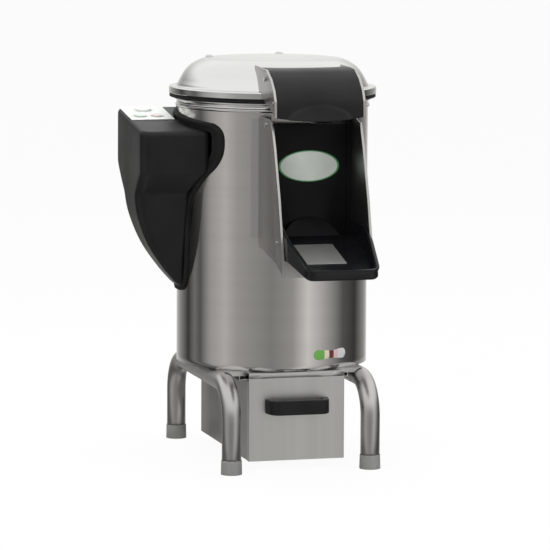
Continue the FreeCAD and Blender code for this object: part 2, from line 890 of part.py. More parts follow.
def make_contactor():
    x0 = box_out_x + box_wall + 0.05
    low = box_waist_z + 30
    body = box(x0, x0 + 55, -box_half_y + 58, -box_half_y + 108, low, low + 70)
    return body.fuse(box(x0 + 8, x0 + 47, -box_half_y + 66, -box_half_y + 100, low - 20, low))


def make_cable_gland():
    body = cyl_y(gland_r, box_half_y - 12, box_half_y + 22, gland_x, gland_z)
    nut = cyl_y(gland_r + 4.1, box_half_y + 0.2, box_half_y + 8, gland_x, gland_z)
    body = body.fuse(nut)
    return body.cut(cyl_y(5, box_half_y - 20, box_half_y + 30, gland_x, gland_z))


# Stand


def stand_path(x):
    """Centre line of one bent tube: up the front leg, along the top, down the rear leg."""
    foot_z = foot_sole
    run_y = leg_y - bend_r
    bend_z = tube_z - bend_r
    drop = bend_r * (1 - math.cos(math.radians(45)))
    points = [
        V(x, -leg_y, foot_z),
        V(x, -leg_y, bend_z),
        V(x, -leg_y + drop, tube_z - drop),
        V(x, -run_y, tube_z),
        V(x, run_y, tube_z),
        V(x, leg_y - drop, tube_z - drop),
        V(x, leg_y, bend_z),
        V(x, leg_y, foot_z),
    ]
    return Part.Wire([
        Part.makeLine(points[0], points[1]),
        Part.Arc(points[1], points[2], points[3]).toShape(),
        Part.makeLine(points[3], points[4]),
        Part.Arc(points[4], points[5], points[6]).toShape(),
        Part.makeLine(points[6], points[7]),
    ])


def make_stand_tube(x):
    path = stand_path(x)
    start = V(x, -leg_y, foot_sole)
    outer = Part.Wire([Part.makeCircle(tube_r, start, AXIS_Z)])
    inner = Part.Wire([Part.makeCircle(tube_r - 2, start, AXIS_Z)])
    solid = path.makePipeShell([outer], True, True)
    bore = path.makePipeShell([inner], True, True)
    return solid.cut(bore)


def bolt_places():
    """Where the drum's base plate is bolted down on the crossbars."""
    return [(x, y) for x in (-bolt_x, bolt_x) for y in (-bar_y, bar_y)]


def make_crossbars():
    bars = []
    for y in (-bar_y, bar_y):
        bar = box(-leg_x, leg_x, y - bar_w / 2, y + bar_w / 2, drum_bottom_z - bar_t, drum_bottom_z)
        for x in (-leg_x, leg_x):
            bar = bar.cut(cyl_y(tube_r + 0.02, -leg_y, leg_y, x, tube_z))
        for hole_x, hole_y in bolt_places():
            bar = bar.cut(rod(bolt_r + fit_gap, 0, floor_z, hole_x, hole_y))
        bars.append(bar)
    return group(bars)


def make_stand_bolts():
    bolts = []
    low = drum_bottom_z - bar_t
    top = drum_bottom_z + base_plate_t
    for x, y in bolt_places():
        shank = rod(bolt_r, low, top + 6, x, y)
        head = rod(bolt_r + 3, top + 0.02, top + 5, x, y)
        bolts.append(shank.fuse(head))
    return group(bolts)


def make_foot_caps():
    caps = []
    for x in (-leg_x, leg_x):
        for y in (-leg_y, leg_y):
            cone = Part.makeCone(foot_r, tube_r + 1, foot_h, V(x, y, 0))
            cap = cone.cut(rod(tube_r + 0.02, foot_sole, foot_h + 1, x, y))
            caps.append(cap)
    return group(caps)


def make_runner(side):
    inner = drawer_half_x + 2
    outer = drawer_half_x + drawer_flange + 2
    low = drawer_top_z - 2 - sheet - move_gap - runner_t
    web = box(outer, outer + runner_t, -bar_y - 20, bar_y + 20, low, drum_bottom_z - bar_t)
    lip = box(inner, outer + runner_t, -bar_y - 20, bar_y + 20, low, low + runner_t)
    rail = web.fuse(lip)
    if side < 0:
        return rail.mirror(V(0, 0, 0), AXIS_X)
    return rail


# Filter drawer


def make_drawer_box():
    back = drawer_back_y
    front = drawer_front_y + sheet
    low = drawer_bottom_z
    top = drawer_top_z - 2
    half = drawer_half_x
    outer = box(-half, half, front, back, low, top)
    inner = box(-half + sheet, half - sheet, front + sheet, back - sheet, low + sheet, top + 5)
    shell = outer.cut(inner)
    for side in (-1, 1):
        x0 = half if side > 0 else -half - drawer_flange
        wing = box(x0, x0 + drawer_flange, front + 10, back, top - sheet, top)
        shell = shell.fuse(wing)
    return shell.cut(cyl_y(outlet_r - 2, back - 10, back + 5, 0, low + 40))


def make_drawer_front():
    half = drawer_half_x + 1
    top = drum_bottom_z - 2 * move_gap
    face = box(-half, half, drawer_front_y, drawer_front_y + sheet, drawer_bottom_z, top)
    for side in (-1, 1):
        x0 = drawer_half_x + 0.02 if side > 0 else -half
        face = face.fuse(box(x0, x0 + 0.98, drawer_front_y, drawer_front_y + 18,
                             drawer_bottom_z, drawer_top_z - 5))
    return face


def make_drawer_handle():
    y = drawer_front_y
    bar_front = y - handle_out
    slim = handle_half_w - 15
    plan = flat_plate([
        (-handle_half_w, y),
        (-handle_half_w + 4, bar_front + 5),
        (-handle_half_w + 10, bar_front),
        (handle_half_w - 10, bar_front),
        (handle_half_w - 4, bar_front + 5),
        (handle_half_w, y),
        (slim, y),
        (slim - 2, bar_front + handle_bar_t),
        (-slim + 2, bar_front + handle_bar_t),
        (-slim, y),
    ], handle_z - handle_h / 2, handle_z + handle_h / 2)
    return plan


def make_handle_screws():
    screws = []
    for x in (-handle_half_w + 8, handle_half_w - 8):
        head = cyl_y(6, drawer_front_y + 2 * sheet, drawer_front_y + 2 * sheet + 4, x, handle_z)
        screws.append(head)
    return group(screws)


def make_drawer_sieve():
    half = drawer_half_x - sheet - 1
    z0 = drawer_bottom_z + 70
    pan = box(-half, half, drawer_front_y + 4, drawer_back_y - 3, z0, z0 + 2)
    holes = []
    for i in range(9):
        for j in range(17):
            holes.append(rod(5, z0 - 2, z0 + 5, -80 + 20 * i, -180 + 22 * j))
    pan = pan.cut(group(holes))
    for x in (-half, half - 2):
        pan = pan.fuse(box(x, x + 2, drawer_front_y + 4, drawer_back_y - 3, drawer_bottom_z + sheet, z0))
    return pan


def make_drawer_outlet():
    z = drawer_bottom_z + 40
    pipe = cyl_y(outlet_r, drawer_back_y, drawer_back_y + outlet_len, 0, z)
    pipe = pipe.fuse(cyl_y(outlet_r + 8, drawer_back_y, drawer_back_y + 3, 0, z))
    return pipe.cut(cyl_y(outlet_r - 2, drawer_back_y - 5, drawer_back_y + outlet_len + 5, 0, z))


# Drive


def make_disc():
    low = disc_under_z
    plate = turned([
        (0, low), (disc_r, low), (disc_r, low + disc_t - 3), (disc_r - 4, low + disc_t),
        (60, low + disc_t + 2), (30, low + disc_t + 10), (0, low + disc_t + 12),
    ])
    for k in range(3):
        ridge = box(50, disc_r - 14, -12, 12, low + disc_t - 2, low + disc_t + 7)
        ridge = ridge.cut(box(50, disc_r, -40, -6, low + disc_t + 3, low + 40))
        ridge.rotate(V(0, 0, 0), AXIS_Z, 120 * k)
        plate = plate.fuse(ridge)
    return plate.cut(rod(shaft_r, low - 1, low + 12))


def make_disc_shaft():
    shaft = rod(shaft_r, pulley_z - 8, disc_under_z + 11.9)
    collar = rod(shaft_r + 6, disc_under_z - 8, disc_under_z - 0.05)
    return shaft.fuse(collar)


def make_big_pulley():
    return pulley(big_pulley_r, 0, 0, shaft_r)


def make_small_pulley():
    return pulley(small_pulley_r, motor_x, motor_y, motor_shaft_r)


def pulley(r, x, y, bore):
    z = pulley_z
    profile = [
        (bore, z), (r, z), (r, z + 3), (r - 5, z + 6), (r - 5, z + pulley_h - 6),
        (r, z + pulley_h - 3), (r, z + pulley_h), (bore, z + pulley_h),
    ]
    wheel = turned(profile)
    wheel.translate(V(x, y, 0))
    return wheel


def belt_loop(r_big, r_small, z0, z1):
    """Stadium with unlike ends: the belt's outline round both pulleys."""
    reach = math.hypot(motor_x, motor_y)
    lean = math.acos((r_big - r_small) / reach)
    aim = math.atan2(motor_y, motor_x)
    corners = []
    for centre_x, centre_y, r, sign in (
        (0, 0, r_big, 1), (motor_x, motor_y, r_small, 1),
        (motor_x, motor_y, r_small, -1), (0, 0, r_big, -1),
    ):
        angle = aim + sign * lean
        corners.append((centre_x + r * math.cos(angle), centre_y + r * math.sin(angle)))
    web = flat_plate(corners, z0, z1)
    return web.fuse(rod(r_big, z0, z1)).fuse(rod(r_small, z0, z1, motor_x, motor_y))


def make_belt():
    z0 = pulley_z + 6.5
    z1 = pulley_z + pulley_h - 6.5
    r_big = big_pulley_r - 5 + move_gap
    r_small = small_pulley_r - 5 + move_gap
    outer = belt_loop(r_big + belt_t, r_small + belt_t, z0, z1)
    return outer.cut(belt_loop(r_big, r_small, z0 - 1, z1 + 1))


def make_motor_body():
    z0 = pulley_z + pulley_h + 14
    body = rod(motor_r, z0, floor_z - 6, motor_x, motor_y)
    flange = tube(motor_r, 30, floor_z - 6, floor_z - 0.02, motor_x, motor_y)
    body = body.fuse(flange)
    for k in range(16):
        angle = math.radians(22.5 * k)
        x = motor_x + motor_r * math.cos(angle)
        y = motor_y + motor_r * math.sin(angle)
        body = body.cut(rod(3, z0 + 14, floor_z - 24, x, y))
    body = body.cut(rod(rotor_r + 1.5, z0 + 12, floor_z - 18, motor_x, motor_y))
    return body.cut(rod(motor_shaft_r + run_gap, z0 - 5, floor_z - 12, motor_x, motor_y))


def make_motor_rotor():
    z0 = pulley_z + pulley_h + 14
    core = rod(rotor_r, z0 + 16, floor_z - 22, motor_x, motor_y)
    return core.fuse(rod(motor_shaft_r, pulley_z - 4, floor_z - 13, motor_x, motor_y))


def make_bearing_housing():
    body = rod(housing_r, housing_bottom_z, floor_z - 0.02)
    flange = rod(housing_r + 16, floor_z - 8, floor_z - 0.02)
    motor_room = rod(motor_r + 1, 0, right_through, motor_x, motor_y)
    flange = flange.cut(motor_room)
    body = body.cut(motor_room)
    return body.fuse(flange).cut(rod(bearing_r, housing_bottom_z - 1, floor_z + 1))


def make_bearings():
    rings = []
    for z in (housing_bottom_z + 2, floor_z - bearing_h - 2):
        rings.append(tube(bearing_r - 0.02, shaft_r + run_gap, z, z + bearing_h))
    return group(rings)


def make_shaft_seal():
    return tube(bearing_r - 0.02, shaft_r + run_gap, floor_z - 1.5, floor_z + floor_plate + 5)


# Badge on the lower right of the drum


def make_badge():
    """A pill-shaped strip that lies on the drum, 75 mm along the wall and 21 mm high."""
    angle = 27.0
    pill = box(-27, 27, -drum_r - 1.4, -drum_r + 30, -10.5, 10.5)
    for x in (-27, 27):
        pill = pill.fuse(cyl_y(10.5, -drum_r - 1.4, -drum_r + 30, x, 0))
    pill = pill.common(tube(drum_r + 1.2, drum_r + 0.02, -20, 20))
    pill.rotate(V(0, 0, 0), AXIS_Z, angle)
    pill.translate(V(0, 0, 248))
    return pill


pieces = {
    "drum_casing": make_drum_casing(),
    "drum_top_ring": make_top_ring(),
    "abrasive_liner": make_liner(),
    "chamber_floor": make_chamber_floor(),
    "drum_base_plate": make_base_plate(),
    "drain_pipe": make_drain_pipe(),
    "water_inlet": make_water_inlet(),
    "water_inlet_nut": make_inlet_nut(),
    "lid_shell": make_lid_shell(),
    "lid_seal": make_lid_seal(),
    "lid_rivets": make_rivets(),
    "lid_hinge_leaf": make_hinge_leaf(),
    "hinge_bracket": make_hinge_bracket(),
    "hinge_pin": make_hinge_pin(),
    "hood_cheek_left": make_hood_cheek(-1),
    "hood_cheek_right": make_hood_cheek(1),
    "hood_cover": make_hood_cover(),
    "hood_screws": make_hood_screws(),
    "mouth_cheek_left": make_mouth_cheek(-1),
    "mouth_cheek_right": make_mouth_cheek(1),
    "mouth_floor": make_mouth_floor(),
    "mouth_screws": make_mouth_screws(),
    "gate_guides": group([make_gate_guide(-1), make_gate_guide(1)]),
    "gate": make_gate(),
    "gate_label": make_gate_label(),
    "chute_tray": make_chute_tray(),
    "chute_plate": make_chute_plate(),
    "control_box": make_control_box(),
    "control_box_seal": make_box_seal(),
    "panel_plate": make_panel(),
    "button_collars": make_collars(),
    "start_button": make_button(0),
    "stop_button": make_button(1),
    "timer_knob": make_knob(),
    "switch_blocks": group(make_switch_blocks() + [make_timer()]),
    "contactor": make_contactor(),
    "cable_gland": make_cable_gland(),
    "stand_tube_left": make_stand_tube(-leg_x),
    "stand_tube_right": make_stand_tube(leg_x),
    "stand_crossbars": make_crossbars(),
    "stand_bolts": make_stand_bolts(),
    "foot_caps": make_foot_caps(),
    "drawer_runners": group([make_runner(-1), make_runner(1)]),
    "drawer_box": make_drawer_box(),
    "drawer_front": make_drawer_front(),
    "drawer_handle": make_drawer_handle(),
    "handle_screws": make_handle_screws(),
    "drawer_sieve": make_drawer_sieve(),
    "drawer_outlet": make_drawer_outlet(),
    "abrasive_disc": make_disc(),
    "disc_shaft": make_disc_shaft(),
    "disc_pulley": make_big_pulley(),
    "motor_pulley": make_small_pulley(),
    "drive_belt": make_belt(),
    "motor_body": make_motor_body(),
    "motor_rotor": make_motor_rotor(),
    "bearing_housing": make_bearing_housing(),
    "shaft_bearings": make_bearings(),
    "shaft_seal": make_shaft_seal(),
    "drum_badge": make_badge(),
}

for node, solid in pieces.items():
    place(solid, node)
print("origin offset", origin_x, origin_y)
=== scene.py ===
# %% [markdown]
# # Electric potato peeler
# A steel drum stands on two bent tubes. Potatoes tumble inside against a gritty wall, the peel is washed into
# a filter drawer below, and a gate at the front lets the peeled potatoes out. The construction comes ready
# made as a fixed frame of named pieces, and this script gives it its looks. Every piece that is made here
# is a surface worked out with numpy, in the same metres and the same place as the frame.

# %% Load the frame
import json
import bmesh
import bpy
import numpy as np
from mathutils import Matrix, Vector


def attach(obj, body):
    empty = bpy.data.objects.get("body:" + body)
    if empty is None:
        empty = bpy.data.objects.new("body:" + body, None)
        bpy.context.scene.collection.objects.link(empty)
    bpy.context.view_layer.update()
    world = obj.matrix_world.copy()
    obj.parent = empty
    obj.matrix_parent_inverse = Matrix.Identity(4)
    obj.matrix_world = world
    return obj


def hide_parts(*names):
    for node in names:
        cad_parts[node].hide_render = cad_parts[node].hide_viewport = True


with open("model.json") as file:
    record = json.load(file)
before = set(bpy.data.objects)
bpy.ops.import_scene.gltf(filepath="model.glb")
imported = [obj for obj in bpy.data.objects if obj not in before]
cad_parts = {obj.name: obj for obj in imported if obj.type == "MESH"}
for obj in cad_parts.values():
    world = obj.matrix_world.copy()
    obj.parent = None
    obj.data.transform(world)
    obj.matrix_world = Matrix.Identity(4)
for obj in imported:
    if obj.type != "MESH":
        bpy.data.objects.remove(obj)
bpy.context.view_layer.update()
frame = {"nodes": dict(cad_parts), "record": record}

# %% [markdown]
# ## Sizes
# The maker's drawing measures from the upright axis of the drum, in millimetres. These are the sizes that
# several pieces share. One helper moves a point from that drawing to the frame, which has its origin
# in the middle of the footprint.

# %% Shared sizes in millimetres
AXIS_SHIFT = np.array([46.0, 116.25, 0.0])
SHEET = 1.5
DRUM_R, DRUM_LOW, DRUM_TOP = 200.0, 202.0, 753.0
MOUTH_LEFT, MOUTH_RIGHT = -80.0, 104.0
MOUTH_MID = (MOUTH_LEFT + MOUTH_RIGHT) / 2
WINDOW_LOW, WINDOW_TOP, WINDOW_MARGIN = 482.0, 700.0, 12.0
SEAL_T = 6.0
PANEL_Z, BOX_SLOPE = 712.0, 0.149


def to_frame(points):
    """Drawing millimetres to frame metres: add the shift of the axis, then divide by a thousand."""
    return (np.asarray(points, float) + AXIS_SHIFT) / 1000


print("drum axis stands at", to_frame([0, 0, 0]))

# %% [markdown]
# ## From a grid of points to a mesh
# A smooth sheet of steel or plastic can be described by two numbers: how far round, and how far up. Asking
# for the point at every pair of numbers gives a grid, and four neighbours in the grid make one face. It
# could also be pulled and pushed by hand from a cube, but then a change of size would mean doing it again.

# %% Grid helpers


def grid_faces(rows, columns, ring_rows=False, ring_columns=False):
    """Faces between neighbours of a rows x columns grid; a ring also joins its last line to its first."""
    i = np.arange(rows if ring_rows else rows - 1)
    j = np.arange(columns if ring_columns else columns - 1)
    i, j = (a.ravel() for a in np.meshgrid(i, j, indexing="ij"))
    i_next, j_next = (i + 1) % rows, (j + 1) % columns
    return np.stack([i * columns + j, i_next * columns + j, i_next * columns + j_next, i * columns + j_next], 1)


def soften(corners, radius, steps=6, closed=True):
    """Replace each corner by a curve that leaves its one side and meets the other, radius away from it."""
    p = np.asarray(corners, float)
    back, ahead = np.roll(p, 1, 0) - p, np.roll(p, -1, 0) - p
    back_len, ahead_len = (np.maximum(np.linalg.norm(a, axis=1), 1e-9) for a in (back, ahead))
    cut = np.minimum(radius, 0.49 * np.minimum(back_len, ahead_len))[:, None]
    start, end = p + back / back_len[:, None] * cut, p + ahead / ahead_len[:, None] * cut
    t = np.linspace(0, 1, steps)[None, :, None]
    curve = (1 - t) ** 2 * start[:, None] + 2 * t * (1 - t) * p[:, None] + t ** 2 * end[:, None]
    if not closed:
        return np.vstack([p[:1], curve[1:-1].reshape(-1, p.shape[1]), p[-1:]])
    return curve.reshape(-1, p.shape[1])


def turn(profile, angles, centre=(0.0, 0.0), ring=True):
    """Carry (radius, height) points round an upright axis: x = r cos a, y = r sin a, z stays."""
    a = np.asarray(angles, float)[:, None]
    r, z = np.asarray(profile, float).T
    grid = np.stack([centre[0] + r * np.cos(a), centre[1] + r * np.sin(a), z + 0 * a], 2)
    return grid, grid_faces(len(a), len(r), ring_rows=ring)


ROUND = np.linspace(0, 2 * np.pi, 192, endpoint=False)
print("one full turn is drawn with", len(ROUND), "steps")

# %% [markdown]
# ## From a mesh to a piece of the machine
# Each piece rides on one body of the frame, so that it swings or slides with it. Where it stands for
# a piece of the frame, that one is hidden. Doubles at seams and poles are merged and all faces turned outwards
# before anything else, because a wall that gets its thickness later would otherwise grow the wrong way.

# %% Piece helpers


def add_piece(name, parts, body, stands_for=(), wall=0.0, sharp=30.0, closed=True):
    """Join (points, faces) parts into one object: merge doubles, turn faces outwards, shade smooth by angle."""
    shell = bmesh.new()
    for grid, faces in parts:
        flat = to_frame(np.asarray(grid).reshape(-1, 3))
        part = bpy.data.meshes.new("part")
        part.from_pydata(flat.tolist(), [], np.asarray(faces).tolist())
        shell.from_mesh(part)
        bpy.data.meshes.remove(part)
    bmesh.ops.remove_doubles(shell, verts=shell.verts, dist=2e-6)
    if closed:
        bmesh.ops.recalc_face_normals(shell, faces=shell.faces)
    mesh = bpy.data.meshes.new(name)
    shell.to_mesh(mesh)
    shell.free()
    if not closed:
        face_outwards(mesh)
    return dress(name, mesh, body, stands_for, wall=wall, sharp=sharp)


def face_outwards(mesh):
    """Turn an open sheet over if the sum of area times normal times (centre - middle) is below zero."""
    normal, centre, area = (np.zeros(len(mesh.polygons) * n) for n in (3, 3, 1))
    mesh.polygons.foreach_get("normal", normal)
    mesh.polygons.foreach_get("center", centre)
    mesh.polygons.foreach_get("area", area)
    offset = centre.reshape(-1, 3) - centre.reshape(-1, 3).mean(0)
    if (area * (normal.reshape(-1, 3) * offset).sum(1)).sum() < 0:
        mesh.flip_normals()


def dress(name, mesh, body, stands_for, wall=0.0, bevel=0.0, sharp=30.0):
    """Give a mesh its object, smooth shading, edge finish and wall, and let it ride on its body."""
    mesh.shade_smooth()
    mesh.set_sharp_from_angle(angle=np.radians(sharp))
    piece = bpy.data.objects.new(name, mesh)
    bpy.context.scene.collection.objects.link(piece)
    if wall:
        solid = piece.modifiers.new("wall", "SOLIDIFY")
        solid.thickness, solid.offset = wall / 1000, -1
    if bevel:
        edge = piece.modifiers.new("edge", "BEVEL")
        edge.width, edge.segments, edge.limit_method = bevel / 1000, 2, "ANGLE"
        edge.angle_limit, edge.harden_normals = np.radians(35), False
    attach(piece, body)
    if stands_for:
        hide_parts(*stands_for)
    return piece


def ease_edges(node, body, width):
    """Copy a node of the frame, merge its loose triangles, and break its sharp edges as a maker files them."""
    copy = bmesh.new()
    copy.from_mesh(frame["nodes"][node].data)
    bmesh.ops.remove_doubles(copy, verts=copy.verts, dist=1e-6)
    bmesh.ops.dissolve_limit(copy, angle_limit=np.radians(0.5), verts=copy.verts, edges=copy.edges)
    mesh = bpy.data.meshes.new(node + "_eased")
    copy.to_mesh(mesh)
    copy.free()
    return dress(node + "_eased", mesh, body, (node,), bevel=width)


print("piece helpers ready")

# %% [markdown]
# ## Brushed and polished steel
# The drum is sheet steel that a belt has brushed, so it carries fine scratches that run one way. Real
# scratches are too fine to model, so noise is stretched until it is fifty times longer than it is wide,
# and drives the roughness and a very low bump. The colour moves a little with a coarser one. The metal itself
# is a warm light grey, and what looks like dark and light bands on it is the room in its reflection.

# %% Steel


def material(name):
    """A new material: its node tree and its shader."""
    made = bpy.data.materials.new(name)
    made.use_nodes = True
    return made, made.node_tree, made.node_tree.nodes["Principled BSDF"]


def object_noise(tree, scale, stretch=(1, 1, 1), detail=2.0, rough=0.5):
    """Noise on the piece's own coordinates, squeezed by stretch along each axis."""
    place = tree.nodes.new("ShaderNodeTexCoord")
    squeeze = tree.nodes.new("ShaderNodeMapping")
    squeeze.inputs["Scale"].default_value = stretch
    noise = tree.nodes.new("ShaderNodeTexNoise")
    noise.inputs["Scale"].default_value = scale
    noise.inputs["Detail"].default_value = detail
    noise.inputs["Roughness"].default_value = rough
    tree.links.new(place.outputs["Object"], squeeze.inputs["Vector"])
    tree.links.new(squeeze.outputs["Vector"], noise.inputs["Vector"])
    return noise.outputs["Fac"]


def ramp(tree, value, low, high, start=0.3, end=0.7):
    """Blend from the low colour to the high one while the value goes from start to end."""
    blend = tree.nodes.new("ShaderNodeValToRGB")
    blend.color_ramp.elements[0].position, blend.color_ramp.elements[1].position = start, end
    blend.color_ramp.elements[0].color, blend.color_ramp.elements[1].color = (*low, 1), (*high, 1)
    tree.links.new(value, blend.inputs["Fac"])
    return blend.outputs["Color"]


def spread(tree, value, low, high):
    """Stretch a value from its middle range to low ... high."""
    change = tree.nodes.new("ShaderNodeMapRange")
    change.inputs["From Min"].default_value, change.inputs["From Max"].default_value = 0.3, 0.7
    change.inputs["To Min"].default_value, change.inputs["To Max"].default_value = low, high
    tree.links.new(value, change.inputs["Value"])
    return change.outputs["Result"]


def bump(tree, shader, value, height, strength=1.0):
    """Raise the surface by value times height, in metres."""
    relief = tree.nodes.new("ShaderNodeBump")
    relief.inputs["Distance"].default_value, relief.inputs["Strength"].default_value = height, strength
    tree.links.new(value, relief.inputs["Height"])
    tree.links.new(relief.outputs["Normal"], shader.inputs["Normal"])


def steel(name, low, high, rough, scratch, scratch_height=0.00001, scratches=1500, upright_blur=0.0):
    """Steel with scratches that are short across and long along: scratch is how the noise is squeezed.
    Brushing that runs round a drum smears reflections upright, along the U of the map named brush."""
    made, tree, shader = material(name)
    if upright_blur:
        shader.inputs["Anisotropic"].default_value = upright_blur
        along = tree.nodes.new("ShaderNodeTangent")
        along.direction_type, along.uv_map = "UV_MAP", "brush"
        tree.links.new(along.outputs["Tangent"], shader.inputs["Tangent"])
    shader.inputs["Metallic"].default_value = 1.0
    fine = object_noise(tree, scratches, scratch, 3.0, 0.6)
    tree.links.new(ramp(tree, object_noise(tree, 30, scratch), low, high), shader.inputs["Base Color"])
    tree.links.new(spread(tree, fine, *rough), shader.inputs["Roughness"])
    bump(tree, shader, fine, scratch_height)
    return made


ROUND_THE_DRUM, UPRIGHT = (0.02, 0.02, 1.0), (1.0, 1.0, 0.02)
brushed = steel("steel_brushed_round", (0.60, 0.585, 0.57), (0.64, 0.625, 0.61), (0.11, 0.14), ROUND_THE_DRUM,
                0.000004, 2600, upright_blur=0.9)
brushed_up = steel("steel_brushed_upright", (0.48, 0.47, 0.46), (0.54, 0.53, 0.52), (0.30, 0.40), UPRIGHT,
                   0.000004)
satin = steel("steel_satin", (0.58, 0.58, 0.57), (0.64, 0.64, 0.63), (0.45, 0.55), (1, 1, 1), 0.000004)
polished = steel("steel_polished", (0.66, 0.66, 0.65), (0.70, 0.70, 0.69), (0.10, 0.17), ROUND_THE_DRUM, 0.000004)
sheet_steel = steel("steel_sheet", (0.60, 0.60, 0.59), (0.66, 0.66, 0.65), (0.30, 0.40), (1.0, 0.02, 0.02),
                    0.000004)
screw_steel = steel("steel_screw_heads", (0.55, 0.55, 0.54), (0.62, 0.62, 0.61), (0.16, 0.3), (1, 1, 1))
print("steels:", [m.name for m in (brushed, brushed_up, satin, polished, sheet_steel, screw_steel)])

# %% [markdown]
# ## Black moulded plastic, rubber and the other finishes
# The control box, the hood, the gate and the tray are moulded in black plastic with a fine sparked grain.
# The grain is noise a third of a millimetre across. Handling polishes it in patches, so a second, much
# larger noise moves the roughness.

# %% Plastics and rubber


def moulded(name, low, high, rough, grain=2600, height=0.00004, shine=0.35):
    """Plastic with a sparked grain: fine noise lifts the surface, broad noise moves the gloss."""
    made, tree, shader = material(name)
    tree.links.new(ramp(tree, object_noise(tree, 14, detail=3.0), low, high), shader.inputs["Base Color"])
    tree.links.new(spread(tree, object_noise(tree, 9, detail=4.0), *rough), shader.inputs["Roughness"])
    shader.inputs["Specular IOR Level"].default_value = shine
    bump(tree, shader, object_noise(tree, grain, detail=1.0), height)
    return made


black = moulded("plastic_black", (0.008, 0.008, 0.009), (0.012, 0.012, 0.013), (0.32, 0.44), shine=0.2)
gate_black = moulded("plastic_black_gate", (0.003, 0.003, 0.004), (0.005, 0.005, 0.006), (0.36, 0.5), shine=0.12)
tray_black = moulded("plastic_black_tray", (0.004, 0.004, 0.005), (0.007, 0.007, 0.008), (0.16, 0.24),
                     height=0.00001, shine=0.3)
rubber = moulded("rubber_black", (0.006, 0.006, 0.006), (0.010, 0.010, 0.010), (0.5, 0.7), 900, 0.00003,
                 shine=0.2)
foot_grey = moulded("plastic_foot_grey", (0.21, 0.21, 0.205), (0.26, 0.26, 0.255), (0.35, 0.5))
stop_cap = moulded("plastic_stop_cap", (0.62, 0.52, 0.50), (0.68, 0.58, 0.56), (0.22, 0.32), height=0.00001)
start_cap = moulded("plastic_start_cap", (0.52, 0.62, 0.53), (0.58, 0.68, 0.59), (0.22, 0.32), height=0.00001)
film = moulded("panel_film", (0.66, 0.69, 0.66), (0.78, 0.80, 0.77), (0.3, 0.4), height=0.00001)
print_grey = moulded("panel_print", (0.30, 0.34, 0.32), (0.36, 0.40, 0.37), (0.4, 0.5), height=0.00001)
label_pale = moulded("label_film", (0.50, 0.55, 0.49), (0.62, 0.66, 0.61), (0.28, 0.4), height=0.00001)
label_green = moulded("label_edge_green", (0.05, 0.22, 0.07), (0.08, 0.28, 0.10), (0.3, 0.4), height=0.00001)
wiring_grey = moulded("plastic_switch_grey", (0.05, 0.05, 0.05), (0.08, 0.08, 0.08), (0.45, 0.6))
motor_grey = moulded("paint_motor_grey", (0.10, 0.12, 0.14), (0.14, 0.16, 0.18), (0.35, 0.5), 700, 0.00008)
print("plastics:", black.name, rubber.name, foot_grey.name)

# %% [markdown]
# The wall and the disc inside are covered in grit, like a grinding wheel. A cell pattern gives the grains
# their edges, and its distance drives both the colour and a strong bump.

# %% Grit, cast metal and brass


def grit(name, dark, light):
    """Grains about 2 mm across, each with its own shade, standing proud of the resin between them."""
    made, tree, shader = material(name)
    place, cells = tree.nodes.new("ShaderNodeTexCoord"), tree.nodes.new("ShaderNodeTexVoronoi")
    cells.inputs["Scale"].default_value = 480
    tree.links.new(place.outputs["Object"], cells.inputs["Vector"])
    tree.links.new(ramp(tree, cells.outputs["Distance"], light, dark, 0.1, 0.8), shader.inputs["Base Color"])
    shader.inputs["Roughness"].default_value = 0.85
    bump(tree, shader, cells.outputs["Distance"], 0.0006, 0.8)
    return made


grinding_grit = grit("grit_grey", (0.05, 0.048, 0.045), (0.22, 0.21, 0.19))
cast = steel("aluminium_cast", (0.50, 0.50, 0.50), (0.58, 0.58, 0.58), (0.4, 0.6), (1, 1, 1), 0.0001, 500)
brass = steel("brass_turned", (0.62, 0.44, 0.17), (0.70, 0.51, 0.22), (0.2, 0.34), (1, 1, 1))
print("grit, cast metal and brass ready")

# %% [markdown]
# ## The drum
# The drum is one sheet rolled to a cylinder, with a seam at the back and a window cut for the outlet. The
# grid has a line exactly along each side of the window, and the faces inside the window are left out. The
# hidden rings where it is welded need nothing, because the sheet only shows from outside.

# %% Drum sheet


def drum_sheet():
    """A cylinder: x = R cos a, y = R sin a, z up; faces between the window's edges are dropped."""
    half = np.array([MOUTH_LEFT + WINDOW_MARGIN, MOUTH_RIGHT - WINDOW_MARGIN])
    edge = np.arcsin(half / DRUM_R) - np.pi / 2
    inside = np.linspace(edge[0], edge[1], 33)
    outside = np.linspace(edge[1], edge[0] + 2 * np.pi, 225)[1:-1]
    angles = np.concatenate([inside, outside])
    levels = np.concatenate([np.linspace(DRUM_LOW, WINDOW_LOW, 24), np.linspace(WINDOW_LOW, WINDOW_TOP, 18)[1:],
                             np.linspace(WINDOW_TOP, DRUM_TOP - 0.4, 6)[1:]])
    grid, faces = turn(np.stack([DRUM_R + 0 * levels, levels], 1), angles)
    middle = grid.reshape(-1, 3)[faces].mean(1)
    window = (middle[:, 1] < 0) & (middle[:, 0] > half[0]) & (middle[:, 0] < half[1])
    window &= (middle[:, 2] > WINDOW_LOW) & (middle[:, 2] < WINDOW_TOP)
    return grid, faces[~window]


drum = add_piece("drum_sheet", [drum_sheet()], "machine", ("drum_casing",), wall=SHEET,
                 closed=False)
drum.data.materials.append(brushed)


def brush_map(piece, radius):
    """A map for the brushing: U is height, V is the way round, measured from the front; the seam is behind."""
    mesh = piece.data
    place, corner = np.zeros(len(mesh.vertices) * 3), np.zeros(len(mesh.loops), int)
    mesh.vertices.foreach_get("co", place)
    mesh.loops.foreach_get("vertex_index", corner)
    x, y, z = (place.reshape(-1, 3)[corner] - to_frame([0, 0, 0])).T
    way = np.arctan2(x, -y).reshape(-1, 4)
    way = np.where((np.ptp(way, axis=1)[:, None] > np.pi) & (way < 0), way + 2 * np.pi, way).ravel()
    layer = mesh.uv_layers.new(name="brush")
    layer.data.foreach_set("uv", np.stack([z, way * radius / 1000], 1).ravel())


